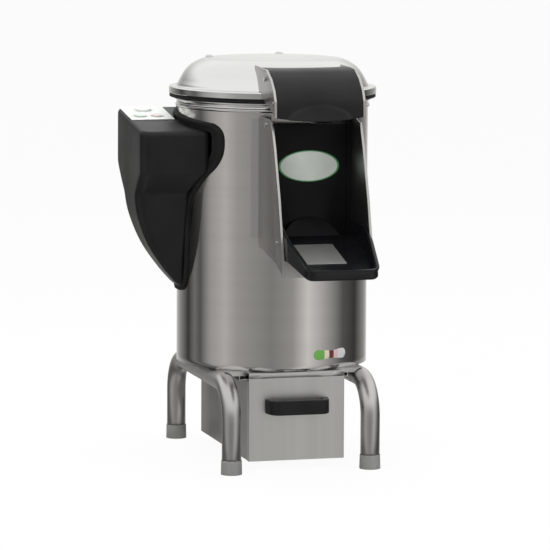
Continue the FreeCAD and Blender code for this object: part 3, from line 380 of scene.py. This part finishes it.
brush_map(drum, DRUM_R)
print("drum sheet:", len(drum.data.polygons), "faces")

# %% [markdown]
# A rolled bead runs round the drum just under its rim, and above it the sheet is flanged outwards, where the
# lid's seal lands. Both are one pressed ring, so they are one profile, turned once round the axis.

# %% Rim and bead of the drum
ring_profile = soften([
    (200.1, 736.5), (201.6, 736.0), (203.6, 738.2), (203.6, 741.8), (201.6, 744.0), (201.0, 746.0),
    (201.0, 750.6), (203.0, 752.0), (205.4, 752.0), (206.0, 752.8), (206.0, 755.2), (205.2, 756.0),
    (190.0, 756.0), (188.0, 755.4), (188.0, 753.0), (200.1, 753.0)], 0.9, 4)
ring = add_piece("drum_rim", [turn(np.vstack([ring_profile, ring_profile[:1]]), ROUND)], "machine",
                 ("drum_top_ring",), sharp=50)
ring.data.materials.append(polished)
print("rim height:", round(np.ptp(ring_profile[:, 1]), 1), "mm")

# %% [markdown]
# ## The lid
# The lid is a pressed dome with a rolled rim, polished until it mirrors the room. Small errors in a dome show
# at once as kinks in the reflection, so the profile is a smooth curve through the measured points, not
# straight pieces. A soft shoulder leads up to the nearly flat top.

# %% Lid dome
LID_POINTS = np.array([
    (217.0, 765.0), (217.0, 775.5), (215.6, 778.2), (212.5, 779.0), (203.6, 779.0), (200.6, 780.6),
    (198.6, 785.0), (195.2, 791.4), (191.0, 799.5), (185.6, 808.0), (179.0, 816.0), (170.0, 824.0), (159.0, 830.2),
    (154.0, 832.4), (149.0, 834.6), (143.0, 836.0), (120.0, 838.0), (90.0, 839.0), (45.0, 839.8), (0.0, 840.0)])


def smooth_line(points, count=120, closed=False):
    """A curve through the points: each span is a cubic that leaves and arrives along its neighbours' chord."""
    p = np.asarray(points, float)
    before, after = np.roll(p, 1, 0), np.roll(p, -1, 0)
    if not closed:
        before[0], after[-1] = p[0], p[-1]
    slope = (after - before) / 2
    t = np.linspace(0, 1, max(2, count // len(p)), endpoint=False)[None, :, None]
    q, m = (np.roll(p, -1, 0), np.roll(slope, -1, 0))
    span = ((2 * t ** 3 - 3 * t ** 2 + 1) * p[:, None] + (t ** 3 - 2 * t ** 2 + t) * slope[:, None]
            + (3 * t ** 2 - 2 * t ** 3) * q[:, None] + (t ** 3 - t ** 2) * m[:, None])
    if closed:
        return span.reshape(-1, p.shape[1])
    return np.vstack([span[:-1].reshape(-1, p.shape[1]), p[-1:]])


lid_profile = smooth_line(LID_POINTS, 160)
lid = add_piece("lid_dome", [turn(lid_profile, ROUND)], "lid", ("lid_shell",), wall=SHEET,
                sharp=60, closed=False)
lid.data.materials.append(polished)
print("lid dome:", len(lid.data.polygons), "faces, top at", lid_profile[:, 1].max(), "mm")

# %% [markdown]
# Two low round heads sit on top of the lid, and a rubber ring under its rim keeps the water in.
# A head is a quarter of an oval turned round its own axis. The ring is a profile with two lips, turned round
# the drum's axis, so that it looks moulded where its edge shows between the lid and the drum.

# %% Lid screws and seal
HEAD_REACH, HEAD_ANGLES, HEAD_SEAT = 136, np.radians([69, 153]), 836.9


def dome_head(x, y, z, radius, height, steps=9):
    """A low round head: radius times cos t outwards and height times sin t upwards, t from 0 to a right angle."""
    t = np.linspace(0, np.pi / 2, steps)
    profile = np.stack([radius * np.cos(t), z + height * np.sin(t)], 1)
    return turn(np.vstack([[(0, z)], profile]), ROUND[::6], (x, y))


spots = HEAD_REACH * np.stack([np.cos(HEAD_ANGLES), np.sin(HEAD_ANGLES)], 1)
heads = [dome_head(x, y, HEAD_SEAT, 8, 4.2) for x, y in spots]
lid_heads = add_piece("lid_screw_heads", heads, "lid", ("lid_rivets",))
lid_heads.data.materials.append(screw_steel)

seal_profile = soften([(204.2, 756.6), (215.4, 756.6), (216.4, 758.6), (215.2, 760.8), (216.4, 763.0),
                       (215.8, 764.9), (204.2, 764.9)], 1.0, 5)
seal = add_piece("lid_gasket", [turn(np.vstack([seal_profile, seal_profile[:1]]), ROUND)], "lid",
                 ("lid_seal",), sharp=60)
seal.data.materials.append(rubber)
print("gasket:", len(seal.data.polygons), "faces with two lips")

# %% [markdown]
# ## The control box
# The box is one deep moulding that clings to the drum: broad at the top, where the switches are, and drawn in
# below to a beak. At each height its section is a rounded U, open towards the drum. So the surface is a
# function of height and of the way round the U: half width, reach and corner radius all change with height.
# The last steps fold over a rounded rim onto the sloping top.

# %% Control box
BOX_HALF, BOX_REACH, BOX_CORNER, BOX_SHOULDER = 118.0, 309.0, 22.0, 690.0


def eased(z, heights, values, width):
    """Straight lines between the given values, then averaged over width, so that each kink turns into a curve."""
    offsets = np.linspace(-width / 2, width / 2, 21)
    return np.interp(z[:, None] + offsets, heights, values).mean(1)


def box_section(half, reach, corner, count=28):
    """A U seen from above, from the drum round the outer wall and back: rows of (x, y) for each height.
    The ends lie on the drum's circle, and each corner is a quarter of a circle."""
    half, reach, corner = (np.asarray(a, float)[:, None] for a in (half, reach, corner))
    corner = np.minimum(corner, half * 0.98)
    seat = -np.sqrt((DRUM_R + SEAL_T) ** 2 - np.minimum(half, DRUM_R) ** 2)
    side = np.linspace(0, 1, 14)
    turn_angle = np.linspace(0, np.pi / 2, count // 2)
    x_side = seat + (corner - reach - seat) * side
    x_turn, y_turn = corner * (1 - np.sin(turn_angle)) - reach, half - corner * (1 - np.cos(turn_angle))
    y_end = (half - corner) * np.linspace(1, -1, 12)[1:-1]
    x = np.hstack([x_side, x_turn[:, 1:], -reach + 0 * y_end, x_turn[:, ::-1], x_side[:, ::-1][:, 1:]])
    y = np.hstack([half + 0 * x_side, y_turn[:, 1:], y_end, -y_turn[:, ::-1], -half + 0 * x_side[:, 1:]])
    return x, y


def control_box():
    """Stack the U sections from the beak up to the rim, then shrink them onto the sloping top."""
    rim, tip, nose, lean = 9.0, 358.0, 14.0, 560.0
    low = np.concatenate([tip + nose * (1 - np.cos(np.linspace(0, np.pi / 2, 7))),
                          np.linspace(tip + nose + 2, BOX_SHOULDER, 70)])
    half = eased(low, [tip, lean, 612, 700], [30, 62, BOX_HALF, BOX_HALF], 12)
    reach = smooth_line([(338, 190), (358, 203), (400, 240), (453, 276), (510, 299), (558, 307.5),
                         (620, BOX_REACH), (700, BOX_REACH)], 400)
    reach = np.interp(low, reach[:, 0], reach[:, 1])
    round_in = nose * (1 - np.sin(np.arccos(np.clip((low - tip) / nose - 1, -1, 0) * -1)))
    round_in = np.where(low < tip + nose, round_in, 0)
    half, reach = half - round_in, reach - round_in
    corner = np.interp(low, [tip, 450, 600, 700], [11, 15, 20, BOX_CORNER])
    x, y = box_section(half, reach, corner)
    z = low[:, None] + 0 * x
    share = np.clip((z - lean) / (BOX_SHOULDER - lean), 0, 1) ** 2
    z = z + share * (PANEL_Z + BOX_SLOPE * y - rim - BOX_SHOULDER)
    bend = np.linspace(0, np.pi / 2, 8)[1:]
    inset = np.concatenate([rim * (1 - np.cos(bend)), rim + np.array([4, 20, 50, 80, 104.99])])
    lift = np.concatenate([rim * np.sin(bend), np.full(5, rim)])
    x_top, y_top = box_section(BOX_HALF - inset, BOX_REACH - inset * 0.8, np.maximum(BOX_CORNER - inset, 3))
    z_top = PANEL_Z + BOX_SLOPE * y_top - rim + lift[:, None]
    grid = np.stack([np.vstack([x, x_top]), np.vstack([y, y_top]), np.vstack([z, z_top])], 2)
    return grid, grid_faces(*grid.shape[:2])


box_shell = add_piece("control_box_shell", [control_box()], "machine", ("control_box",),
                      wall=3.0, sharp=50, closed=False)
box_shell.data.materials.append(black)
print("control box:", len(box_shell.data.polygons), "faces")

# %% [markdown]
# ## Bent tubes and feet
# Each side of the stand is one tube, bent at the front and the back. Its centre line is three straight runs
# and two quarter circles, and a circle is carried along it. Grey caps, a little wider at the floor, close
# the ends.

# %% Stand tubes and foot caps
TUBE_R, BEND_R, LEG_X, LEG_Y = 20.0, 75.0, 148.0, 233.5


def carry(section, path, across=(1.0, 0.0, 0.0), ring=True):
    """Carry a section along a flat path: its first number goes across the path, its second square to both."""
    path, section, across = (np.asarray(a, float) for a in (path, section, across))
    ahead = np.gradient(path, axis=0)
    ahead /= np.linalg.norm(ahead, axis=1, keepdims=True)
    other = np.cross(ahead, across)
    grid = path[:, None] + section[None, :, :1] * across + section[None, :, 1:] * other[:, None]
    return grid, grid_faces(len(path), len(section), ring_columns=ring)


def leg_line(x):
    """Up the front leg, round a quarter circle, level to the back, round again and down."""
    quarter = np.linspace(0, np.pi / 2, 25)
    top, run = 182.0, LEG_Y - BEND_R
    rise = np.stack([0 * quarter, -run - BEND_R * np.cos(quarter), top - BEND_R + BEND_R * np.sin(quarter)], 1)
    fall = rise[::-1] * (1, -1, 1)
    ends = np.array([[(0, -LEG_Y, 6.0)], [(0, LEG_Y, 6.0)]])
    return np.vstack([ends[0], rise, fall, ends[1]]) + (x, 0, 0)


circle = TUBE_R * np.stack([np.cos(ROUND[::4]), np.sin(ROUND[::4])], 1)
for side, x in (("left", -LEG_X), ("right", LEG_X)):
    leg = add_piece("leg_" + side, [carry(circle, leg_line(x))], "machine",
                    ("stand_tube_" + side,), wall=2.0, closed=False)
    leg.data.materials.append(brushed_up)

cap_profile = soften([(0, 0.0), (22.0, 0.0), (21.6, 10.0), (21.2, 29.0), (20.1, 30.0), (20.1, 6), (0, 6)], 1.2, 4)
feet = [turn(cap_profile, ROUND[::4], (x, y)) for x in (-LEG_X, LEG_X) for y in (-LEG_Y, LEG_Y)]
caps = add_piece("foot_cap_set", feet, "machine", ("foot_caps",))
caps.data.materials.append(foot_grey)
print("legs and", len(feet), "foot caps")

# %% [markdown]
# ## The hood
# The hood is a black moulding between two steel cheeks, and it covers the top of the outlet. Its outline
# from the side is carried across, and across it the surface dips in the middle at the back edge and hangs
# lower in the middle at the front. A half-moon at the lower edge swells outwards: this is where the hand
# lifts the lid. The swelling is worked out from the distance to the half-moon's edge.

# %% Hood cover


def hood_cover():
    """The side outline is the path; across it, x runs from cheek to cheek, with dip and half-moon added."""
    side = soften([(-168, 828.5), (-210, 830.5), (-249, 828), (-283, 810), (-305, 789), (-316, 768), (-318, 735)],
                  16, 10, closed=False)
    length = np.concatenate([[0], np.cumsum(np.linalg.norm(np.diff(side, axis=0), axis=1))])
    s = np.linspace(0, length[-1], 150)
    x = np.linspace(MOUTH_LEFT + SHEET + 0.2, MOUTH_RIGHT - SHEET - 0.2, 110)
    y, z = (np.interp(s, length, side[:, k])[:, None] + 0 * x for k in (0, 1))
    half, moon_half, moon_low, moon_high = 91, 70, 728, 34
    middle = 1 - ((x - MOUTH_MID) / half) ** 2
    arch = 1 - ((x - MOUTH_MID) / moon_half) ** 2 - ((z - moon_low) / moon_high) ** 2
    swell = np.clip(arch * 5, 0, 1) ** 0.5 * np.clip((764 - z) / 34, 0, 1) * 7.0
    top_dip = np.clip(1 - s[:, None] / 70, 0, 1) ** 2 * middle * 6
    hang = np.clip((z - 768) / -33, 0, 1) * middle * 7
    return np.stack([x + 0 * y, y - swell, z - top_dip - hang], 2), grid_faces(150, 110)


hood = add_piece("hood_moulding", [hood_cover()], "lid", ("hood_cover",), wall=3.0, sharp=50,
                 closed=False)
hood.data.materials.append(black)
print("hood:", len(hood.data.polygons), "faces")

# %% [markdown]
# ## The seal of the control box
# A moulded rubber frame closes the joint between the box and the round drum. Its outline follows the box at a
# distance and has no sharp corner, so a closed smooth curve through a few points describes it. A low rounded
# lip is carried round that curve, and each of its points is laid on the drum.

# %% Box seal
front_side = [(-106, 713), (-128, 708), (-140, 694), (-143, 672), (-140, 645), (-128, 620), (-106, 597),
              (-85, 573), (-64, 548), (-55, 520), (-53, 470), (-50, 400), (-41, 368), (-24, 356)]
back_side = [(0, 354), (24, 356), (41, 368), (50, 400), (53, 470), (55, 520), (64, 548), (85, 573), (106, 597),
             (128, 620), (140, 645), (143, 690), (140, 718), (128, 731), (106, 734), (0, 724)]


def box_seal():
    """Move each outline point inwards by d and out from the drum by h: x = -sqrt((R + h)^2 - y^2)."""
    line = smooth_line(front_side + back_side, 360, closed=True)
    ahead = np.roll(line, -1, 0) - np.roll(line, 1, 0)
    inward = np.stack([-ahead[:, 1], ahead[:, 0]], 1) / np.linalg.norm(ahead, axis=1)[:, None]
    inward *= np.sign(((line.mean(0) - line) * inward).sum(1).mean())
    lip = np.array([(18, 5.0), (10, 5.2), (7, 6.6), (4, 7.0), (1.8, 6.2), (0.4, 4.4), (0, 2.0), (0.4, 0.1)])
    flat = line[:, None] + lip[None, :, :1] * inward[:, None]
    x = -np.sqrt((DRUM_R + lip[None, :, 1]) ** 2 - flat[..., 0] ** 2)
    return np.stack([x, flat[..., 0], flat[..., 1]], 2), grid_faces(len(line), len(lip), ring_rows=True)


box_gasket = add_piece("box_gasket", [box_seal()], "machine", ("control_box_seal",), sharp=70,
                       closed=False)
box_gasket.data.materials.append(rubber)
print("box seal:", len(box_gasket.data.polygons), "faces")

# %% [markdown]
# ## Print on the panel
# The panel is a pale film. Round the timer it carries a printed ring with ticks, and a thin ring marks each
# button. They are flat rings of ink, a twentieth of a millimetre above the film, without any words.

# %% Panel print
KNOB_AT, BUTTONS_AT, INK_HEIGHT = (-260.5, 78), ((-278.5, 26), (-242.5, 26)), 1.26


def on_panel(centre, radius, angle, height):
    """A point of the sloping panel: the tilt turns (r cos a, r sin a, h) about the X axis, then moves it."""
    tilt = np.arctan(BOX_SLOPE)
    across, along = radius * np.cos(angle), radius * np.sin(angle)
    x, y = centre[0] + across, centre[1] + along * np.cos(tilt) - height * np.sin(tilt)
    z = PANEL_Z + BOX_SLOPE * centre[1] + along * np.sin(tilt) + height * np.cos(tilt)
    return np.stack([x, y, z + 0 * x], -1)


def ink_ring(centre, inner, outer, start=0.0, end=2 * np.pi, steps=64):
    """A flat ring between two radii, from the start angle to the end angle."""
    angle, radius = np.meshgrid(np.linspace(start, end, steps), [inner, outer], indexing="ij")
    return on_panel(centre, radius, angle, INK_HEIGHT), grid_faces(steps, 2)


ticks = [ink_ring(KNOB_AT, 22.0, 25.5, a - 0.03, a + 0.03, 3) for a in np.radians(np.arange(-60, 241, 30))]
rings = [ink_ring(KNOB_AT, 20.0, 20.7, np.radians(-60), np.radians(240))]
rings += [ink_ring(button, 15.6, 16.2) for button in BUTTONS_AT]
ink = add_piece("panel_print", ticks + rings, "machine", closed=False)
ink.data.materials.append(print_grey)
print("panel print:", len(ticks), "ticks,", len(rings), "rings")

# %% [markdown]
# ## The chute tray
# The tray is a deep plastic tray, open at the back. Walked round from the back left, along the front and to
# the back right, its wall always has the same section: outside, over a rolled rim, down the inside. So
# the section is carried along the plan, and its heights follow the falling floor and the side's slope.

# %% Chute tray
TRAY_FRONT, TRAY_LOW, TRAY_SLOPE, TRAY_TOP = -488.0, 425.5, 0.26, 520


def tray_walk():
    """The plan of the tray as a U with rounded front corners: points and outward directions."""
    plan = soften([(-78.2, -268), (-78.2, -375), (-62.2, TRAY_FRONT), (86.2, TRAY_FRONT), (102.2, -375),
                   (102.2, -268)], 17, 9, closed=False)
    half = plan[:len(plan) // 2]
    step = np.concatenate([[0], np.cumsum(np.linalg.norm(np.diff(half, axis=0), axis=1))])
    s = np.linspace(0, step[-1], 70)
    left = np.stack([np.interp(s, step, half[:, 0]), np.interp(s, step, half[:, 1])], 1)
    front = np.stack([np.linspace(left[-1, 0], 2 * MOUTH_MID - left[-1, 0], 20)[1:-1], np.full(18, TRAY_FRONT)], 1)
    walk = np.vstack([left, front, left[::-1] * (-1, 1) + (2 * MOUTH_MID, 0)])
    ahead = np.gradient(walk, axis=0)
    ahead /= np.linalg.norm(ahead, axis=1, keepdims=True)
    return walk, np.stack([ahead[:, 1], -ahead[:, 0]], 1)


def tray():
    """Rows follow the walk; columns go up outside, over the rim and down inside; two sheets close the floor."""
    walk, out = tray_walk()
    low = TRAY_LOW + TRAY_SLOPE * (walk[:, 1] - TRAY_FRONT)
    top = np.interp(walk[:, 1], [TRAY_FRONT, -340, -268], [447, TRAY_TOP, TRAY_TOP])
    rim = np.array([(0, -8), (1.6, -6), (2.4, -3), (1.6, -0.8), (-0.4, 0), (-5, 0), (-7.2, -1.2), (-8, -4)])
    outer, inner = np.array([(-3, 0), (0, 3)]), np.array([(-8, 13), (-9.6, 9.4), (-14, 8)])
    shift = np.concatenate([outer[:, 0], rim[:, 0], inner[:, 0]])
    height = np.hstack([low[:, None] + outer[:, 1], top[:, None] + rim[:, 1], low[:, None] + inner[:, 1]])
    shift = np.minimum(shift, 3 * np.clip((-380 - walk[:, 1:]) / 20, 0, 1))
    flat = walk[:, None] + shift[..., None] * out[:, None]
    wall = np.concatenate([flat, height[..., None]], 2)
    half, across = len(walk) // 2, np.linspace(0, 1, 15)[None, :, None]
    sheets = []
    for column in (0, -1):
        left, right = wall[:half, column][:, None], wall[::-1][:half, column][:, None]
        sheets.append((left * (1 - across) + right * across, grid_faces(half, 15)))
    return [(wall, grid_faces(*wall.shape[:2]))] + sheets


tray_piece = add_piece("tray_moulding", tray(), "machine", ("chute_tray",), sharp=40)
tray_piece.data.materials.append(tray_black)
print("tray:", len(tray_piece.data.polygons), "faces")

# %% [markdown]
# ## Drawer handle
# The handle is one thick rounded bar with angled legs. A rounded section is carried along the plan of the bar.
# The front sheet of the drawer is folded back at its top, which closes the view into the drawer.

# %% Drawer handle
bar_plan = soften([(-61, -200.4), (-55, -230), (55, -230), (61, -200.4)], 14, 12, closed=False)
bar_path = np.column_stack([bar_plan, np.full(len(bar_plan), 132.0)])
bar_section = soften([(-15, -6.4), (15, -6.4), (15, 6.4), (-15, 6.4)], 3, 6)
handle = add_piece("drawer_grip", [carry(bar_section, bar_path, (0, 0, 1))], "drawer",
                   ("drawer_handle",), sharp=60)
handle.data.materials.append(black)

fold_line = np.array([(-176.5, 200.9), (-196.0, 200.9), (-198.6, 200.2), (-199.3, 198.0), (-199.3, 190.0)])
fold_x, fold_s = np.meshgrid(np.linspace(-101.5, 101.5, 9), np.arange(5))
fold_points = np.stack([fold_x, fold_line[fold_s, 0], fold_line[fold_s, 1]], 2)
fold = add_piece("drawer_front_fold", [(fold_points, grid_faces(5, 9))], "drawer", wall=0.8,
                 closed=False)
fold.data.materials.append(sheet_steel)
print("handle:", len(handle.data.polygons), "faces")

# %% [markdown]
# ## Gate label and drum badge
# The gate carries a pale oval label with a thin green edge, and the drum a small pill-shaped badge with
# coloured stripes. Both are plain here. The badge is laid on the drum, and a number stored on its points
# says how far along it they lie, which picks the stripe.

# %% Label and badge
LABEL_AT = (13, -232, 630)
BADGE_ANGLE, BADGE_Z, BADGE_LENGTH, BADGE_ROWS = 22.5, 234.0, 84, 14


def disc_sheet(outline, inner=0.0, rows=BADGE_ROWS):
    """Rings between an inner share of a closed outline and the outline itself: share times (u, v)."""
    share = np.linspace(inner, 1, rows)[:, None, None]
    return np.asarray(outline)[None] * share, grid_faces(rows, len(outline), ring_columns=True)


oval = np.stack([64 * np.cos(ROUND), 32 * np.sin(ROUND)], 1)
for name, inner, height, stands, finish in (("label_oval", 0.0, 0.8, ("gate_label",), label_pale),
                                            ("label_rim", 0.94, 0.95, (), label_green)):
    sheet, faces = disc_sheet(oval, inner)
    face_points = np.stack([LABEL_AT[0] + sheet[..., 0], LABEL_AT[1] - height + 0 * sheet[..., 0],
                            LABEL_AT[2] + sheet[..., 1]], 2)
    oval_piece = add_piece(name, [(face_points, faces)], "gate", stands, closed=False)
    oval_piece.data.materials.append(finish)

pill = np.stack([27 * np.sign(np.cos(ROUND)) + 10.5 * np.cos(ROUND), 10.5 * np.sin(ROUND)], 1)
sheet, faces = disc_sheet(pill)
turned = np.radians(BADGE_ANGLE) + sheet[..., 0] * 1.12 / DRUM_R
lift = DRUM_R + 0.2 + 1.2 * (1 - np.linspace(0, 1, BADGE_ROWS)[:, None] ** 10)
badge_points = np.stack([lift * np.sin(turned), -lift * np.cos(turned), BADGE_Z + sheet[..., 1]], 2)
badge = add_piece("badge_pill", [(badge_points, faces)], "machine", ("drum_badge",),
                  closed=False)
place = np.zeros(len(badge.data.vertices) * 3)
badge.data.vertices.foreach_get("co", place)
x, y, _ = (place.reshape(-1, 3) - to_frame([0, 0, 0])).T
along = (np.arctan2(x, -y) - np.radians(BADGE_ANGLE)) * DRUM_R / BADGE_LENGTH + 0.5
badge.data.attributes.new("along", "FLOAT", "POINT").data.foreach_set("value", along)
stripes, tree, shader = material("badge_stripes")
reader, bars = tree.nodes.new("ShaderNodeAttribute"), tree.nodes.new("ShaderNodeValToRGB")
reader.attribute_name = "along"
bars.color_ramp.interpolation = "CONSTANT"
bars.color_ramp.elements[0].color = (0.12, 0.34, 0.06, 1)
bars.color_ramp.elements[1].position, bars.color_ramp.elements[1].color = 0.30, (0.62, 0.58, 0.44, 1)
for position, colour in ((0.44, (0.13, 0.02, 0.02, 1)), (0.58, (0.62, 0.45, 0.45, 1)),
                         (0.72, (0.6, 0.6, 0.6, 1))):
    bars.color_ramp.elements.new(position).color = colour
tree.links.new(reader.outputs["Fac"], bars.inputs["Fac"])
tree.links.new(bars.outputs["Color"], shader.inputs["Base Color"])
tree.links.new(spread(tree, object_noise(tree, 60), 0.25, 0.4), shader.inputs["Roughness"])
badge.data.materials.append(stripes)
print("label and badge ready")

# %% [markdown]
# ## The pieces that keep the frame's own shape
# Flat cheeks, hems, brackets and bolts are already right in the frame, but no real edge is perfectly sharp.
# A copy of each is merged and its edges are broken by a few tenths of a millimetre, so that they catch the
# light as a line.

# %% Eased copies
BODY_OF = {node: body for body, nodes in frame["record"]["behaviour"]["bodies"].items() for node in nodes}
SLOT_OF = {part["node"]: part["material_slot"] for part in frame["record"]["subparts"]}
FINISH = {"brushed_steel": brushed_up, "polished_steel": polished, "black_plastic": black,
          "fasteners": screw_steel, "rubber": rubber, "foot_plastic": foot_grey, "abrasive": grinding_grit,
          "cast_aluminium": cast,
          "motor_paint": motor_grey, "brass": brass, "dark_fitting": wiring_grey, "button_red": stop_cap,
          "button_green": start_cap, "panel_white": film, "label_white": label_pale, "badge_stripes": stripes}
SPECIAL = {"gate": gate_black, "gate_guides": gate_black, "timer_knob": film, "button_collars": polished,
           "drawer_front": sheet_steel, "stand_crossbars": sheet_steel, "chute_plate": satin}
EASED = ["mouth_cheek_left", "mouth_cheek_right", "hood_cheek_left", "hood_cheek_right", "mouth_floor", "gate",
         "gate_guides", "chute_plate", "drawer_front", "drawer_box", "panel_plate", "start_button",
         "stop_button", "stand_crossbars", "hinge_bracket", "lid_hinge_leaf", "drawer_outlet",
         "water_inlet_nut", "timer_knob", "button_collars"]
EDGE_WIDTH = 0.4
for node in EASED:
    eased_copy = ease_edges(node, BODY_OF[node], EDGE_WIDTH)
    eased_copy.data.materials.append(SPECIAL.get(node, FINISH[SLOT_OF[node]]))
for node, piece in frame["nodes"].items():
    piece.data.materials.clear()
    piece.data.materials.append(SPECIAL.get(node, FINISH[SLOT_OF[node]]))
print(len(EASED), "eased copies,", len(frame["nodes"]), "nodes with a finish")

# %% [markdown]
# ## Studio
# Steel shows what stands around it, so a plain white room would leave it flat. Light Path tells what kind of
# ray asks for the world's colour. The camera gets white. A reflection gets bands of light and dark by compass
# direction, brighter overhead, whose values follow the greys of the photographed drum. So the metal doesn't
# show the white that the camera sees. Every other ray gets an even grey fill, and three soft boxes, which
# reflections don't show, light the machine.

# %% Room and lamps
CAMERA_SIDE = 105.53
BACK_COLOUR = (0.9, 0.9, 0.87, 1)
BANDS = [(-180, 0.9), (-151, 0.4), (-121, 0.05), (-107, 0.23), (-96, 0.12), (-80, 0.45), (-58, 0.63), (-42, 0.45),
         (0, 0.30), (26, 0.42), (45, 0.85), (71, 0.46), (96, 0.12), (121, 0.05), (151, 0.37), (180, 0.9)]


def room():
    """Reflections: a colour by compass direction from the camera, brighter overhead. Camera: white. Else: grey."""
    world = bpy.data.worlds.new("studio_room")
    bpy.context.scene.world = world
    world.use_nodes = True
    tree = world.node_tree
    new, link = tree.nodes.new, tree.links.new
    way, aim, wheel, bands = (new("ShaderNode" + kind)
                              for kind in ("TexCoord", "Mapping", "TexGradient", "ValToRGB"))
    aim.inputs["Rotation"].default_value = (0, 0, np.radians(CAMERA_SIDE))
    wheel.gradient_type = "RADIAL"
    stops = bands.color_ramp.elements
    for degrees, value in BANDS[1:-1]:
        stops.new(degrees / 360 + 0.5).color = (value, value * 0.99, value * 0.965, 1)
    stops[0].color = stops[-1].color = BACK_COLOUR
    link(way.outputs["Generated"], aim.inputs["Vector"])
    link(aim.outputs["Vector"], wheel.inputs["Vector"])
    link(wheel.outputs["Fac"], bands.inputs["Fac"])
    split, climb, sky = new("ShaderNodeSeparateXYZ"), new("ShaderNodeMapRange"), new("ShaderNodeMix")
    climb.interpolation_type = "SMOOTHSTEP"
    climb.inputs["From Min"].default_value, climb.inputs["From Max"].default_value = 0.12, 0.5
    sky.data_type = "RGBA"
    sky.inputs["B"].default_value = (1.15, 1.15, 1.14, 1)
    link(way.outputs["Generated"], split.inputs["Vector"])
    link(split.outputs["Z"], climb.inputs["Value"])
    link(climb.outputs["Result"], sky.inputs["Factor"])
    link(bands.outputs["Color"], sky.inputs["A"])
    ray, around, behind, fill = (new("ShaderNode" + kind)
                                 for kind in ("LightPath", "Background", "Background", "Background"))
    link(sky.outputs["Result"], around.inputs["Color"])
    behind.inputs["Color"].default_value = (1, 1, 1, 1)
    fill.inputs["Color"].default_value = (0.45, 0.455, 0.46, 1)
    shiny, seen = new("ShaderNodeMixShader"), new("ShaderNodeMixShader")
    link(ray.outputs["Is Glossy Ray"], shiny.inputs[0])
    link(fill.outputs[0], shiny.inputs[1])
    link(around.outputs[0], shiny.inputs[2])
    link(ray.outputs["Is Camera Ray"], seen.inputs[0])
    link(shiny.outputs[0], seen.inputs[1])
    link(behind.outputs[0], seen.inputs[2])
    link(seen.outputs[0], tree.nodes["World Output"].inputs["Surface"])


room()


def lamp(name, place, target, size, power):
    """A square soft box at place, in metres, that faces the target; only the room shows in reflections."""
    data = bpy.data.lights.new(name, "AREA")
    data.shape, data.size, data.energy = "SQUARE", size, power
    box = bpy.data.objects.new(name, data)
    box.location = place
    box.rotation_euler = Vector(np.subtract(target, place)).to_track_quat("-Z", "Y").to_euler()
    box.visible_glossy = False
    bpy.context.scene.collection.objects.link(box)


lamp("key_box", (-3.2, -4.2, 3.6), (0, 0, 0.5), 2.2, 130)
lamp("fill_box", (3.6, -3.4, 2.6), (0, 0, 0.5), 2.0, 70)
lamp("top_box", (0, 0.4, 4.0), (0, 0, 0.5), 3.0, 110)
print("room with", len(BANDS), "bands and three soft boxes")

# %% [markdown]
# The floor is a plain pale sheet. To the camera it is mostly an even glow, and the small rest of its shading
# keeps a faint shadow of the machine. For reflections it is clear, so the metal doesn't show it.

# %% Floor
FLOOR_GLOW = 0.94
floor_mesh = bpy.data.meshes.new("studio_floor")
floor_mesh.from_pydata([(-40, -40, 0), (40, -40, 0), (40, 60, 0), (-40, 60, 0)], [], [(0, 1, 2, 3)])
floor = bpy.data.objects.new("studio_floor", floor_mesh)
bpy.context.scene.collection.objects.link(floor)
pale, pale_tree, pale_shader = material("floor_pale")
pale_shader.inputs["Base Color"].default_value = (0.86, 0.86, 0.86, 1)
pale_shader.inputs["Roughness"].default_value = 0.9
pale_shader.inputs["Specular IOR Level"].default_value = 0.1
new, link = pale_tree.nodes.new, pale_tree.links.new
glow = new("ShaderNodeEmission")
glow.inputs["Color"].default_value = (1, 1, 1, 1)
ray, blend = new("ShaderNodeLightPath"), new("ShaderNodeMixShader")
weight = new("ShaderNodeMath")
weight.operation, weight.inputs[1].default_value = "MULTIPLY", FLOOR_GLOW
link(ray.outputs["Is Camera Ray"], weight.inputs[0])
link(weight.outputs[0], blend.inputs[0])
link(pale_shader.outputs[0], blend.inputs[1])
link(glow.outputs[0], blend.inputs[2])
clear, mirror = new("ShaderNodeBsdfTransparent"), new("ShaderNodeMixShader")
link(ray.outputs["Is Glossy Ray"], mirror.inputs[0])
link(blend.outputs[0], mirror.inputs[1])
link(clear.outputs[0], mirror.inputs[2])
link(mirror.outputs[0], pale_tree.nodes["Material Output"].inputs["Surface"])
floor_mesh.materials.append(pale)
print("floor ready")

# %% [markdown]
# ## Camera
# The photograph was taken from far off with a long lens, a little left of the front and slightly from above.

# %% Camera
lens = bpy.data.cameras.new("camera")
lens.sensor_width, lens.lens, lens.clip_end = 36.0, 236.78, 200.0
camera = bpy.data.objects.new("camera", lens)
right, up = np.array([0.963379, -0.268091, 0.005206]), np.array([0.02779, 0.119135, 0.992489])
spot = to_frame([-2025.52, -7287.23, 1310.15])
pose = np.eye(4)
pose[:3, 0], pose[:3, 1], pose[:3, 2], pose[:3, 3] = right, up, np.cross(right, up), spot
camera.matrix_world = Matrix(pose.tolist())
bpy.context.scene.collection.objects.link(camera)
bpy.context.scene.camera = camera
bpy.context.scene.view_settings.view_transform = "Standard"
print("camera at", np.round(spot, 3))
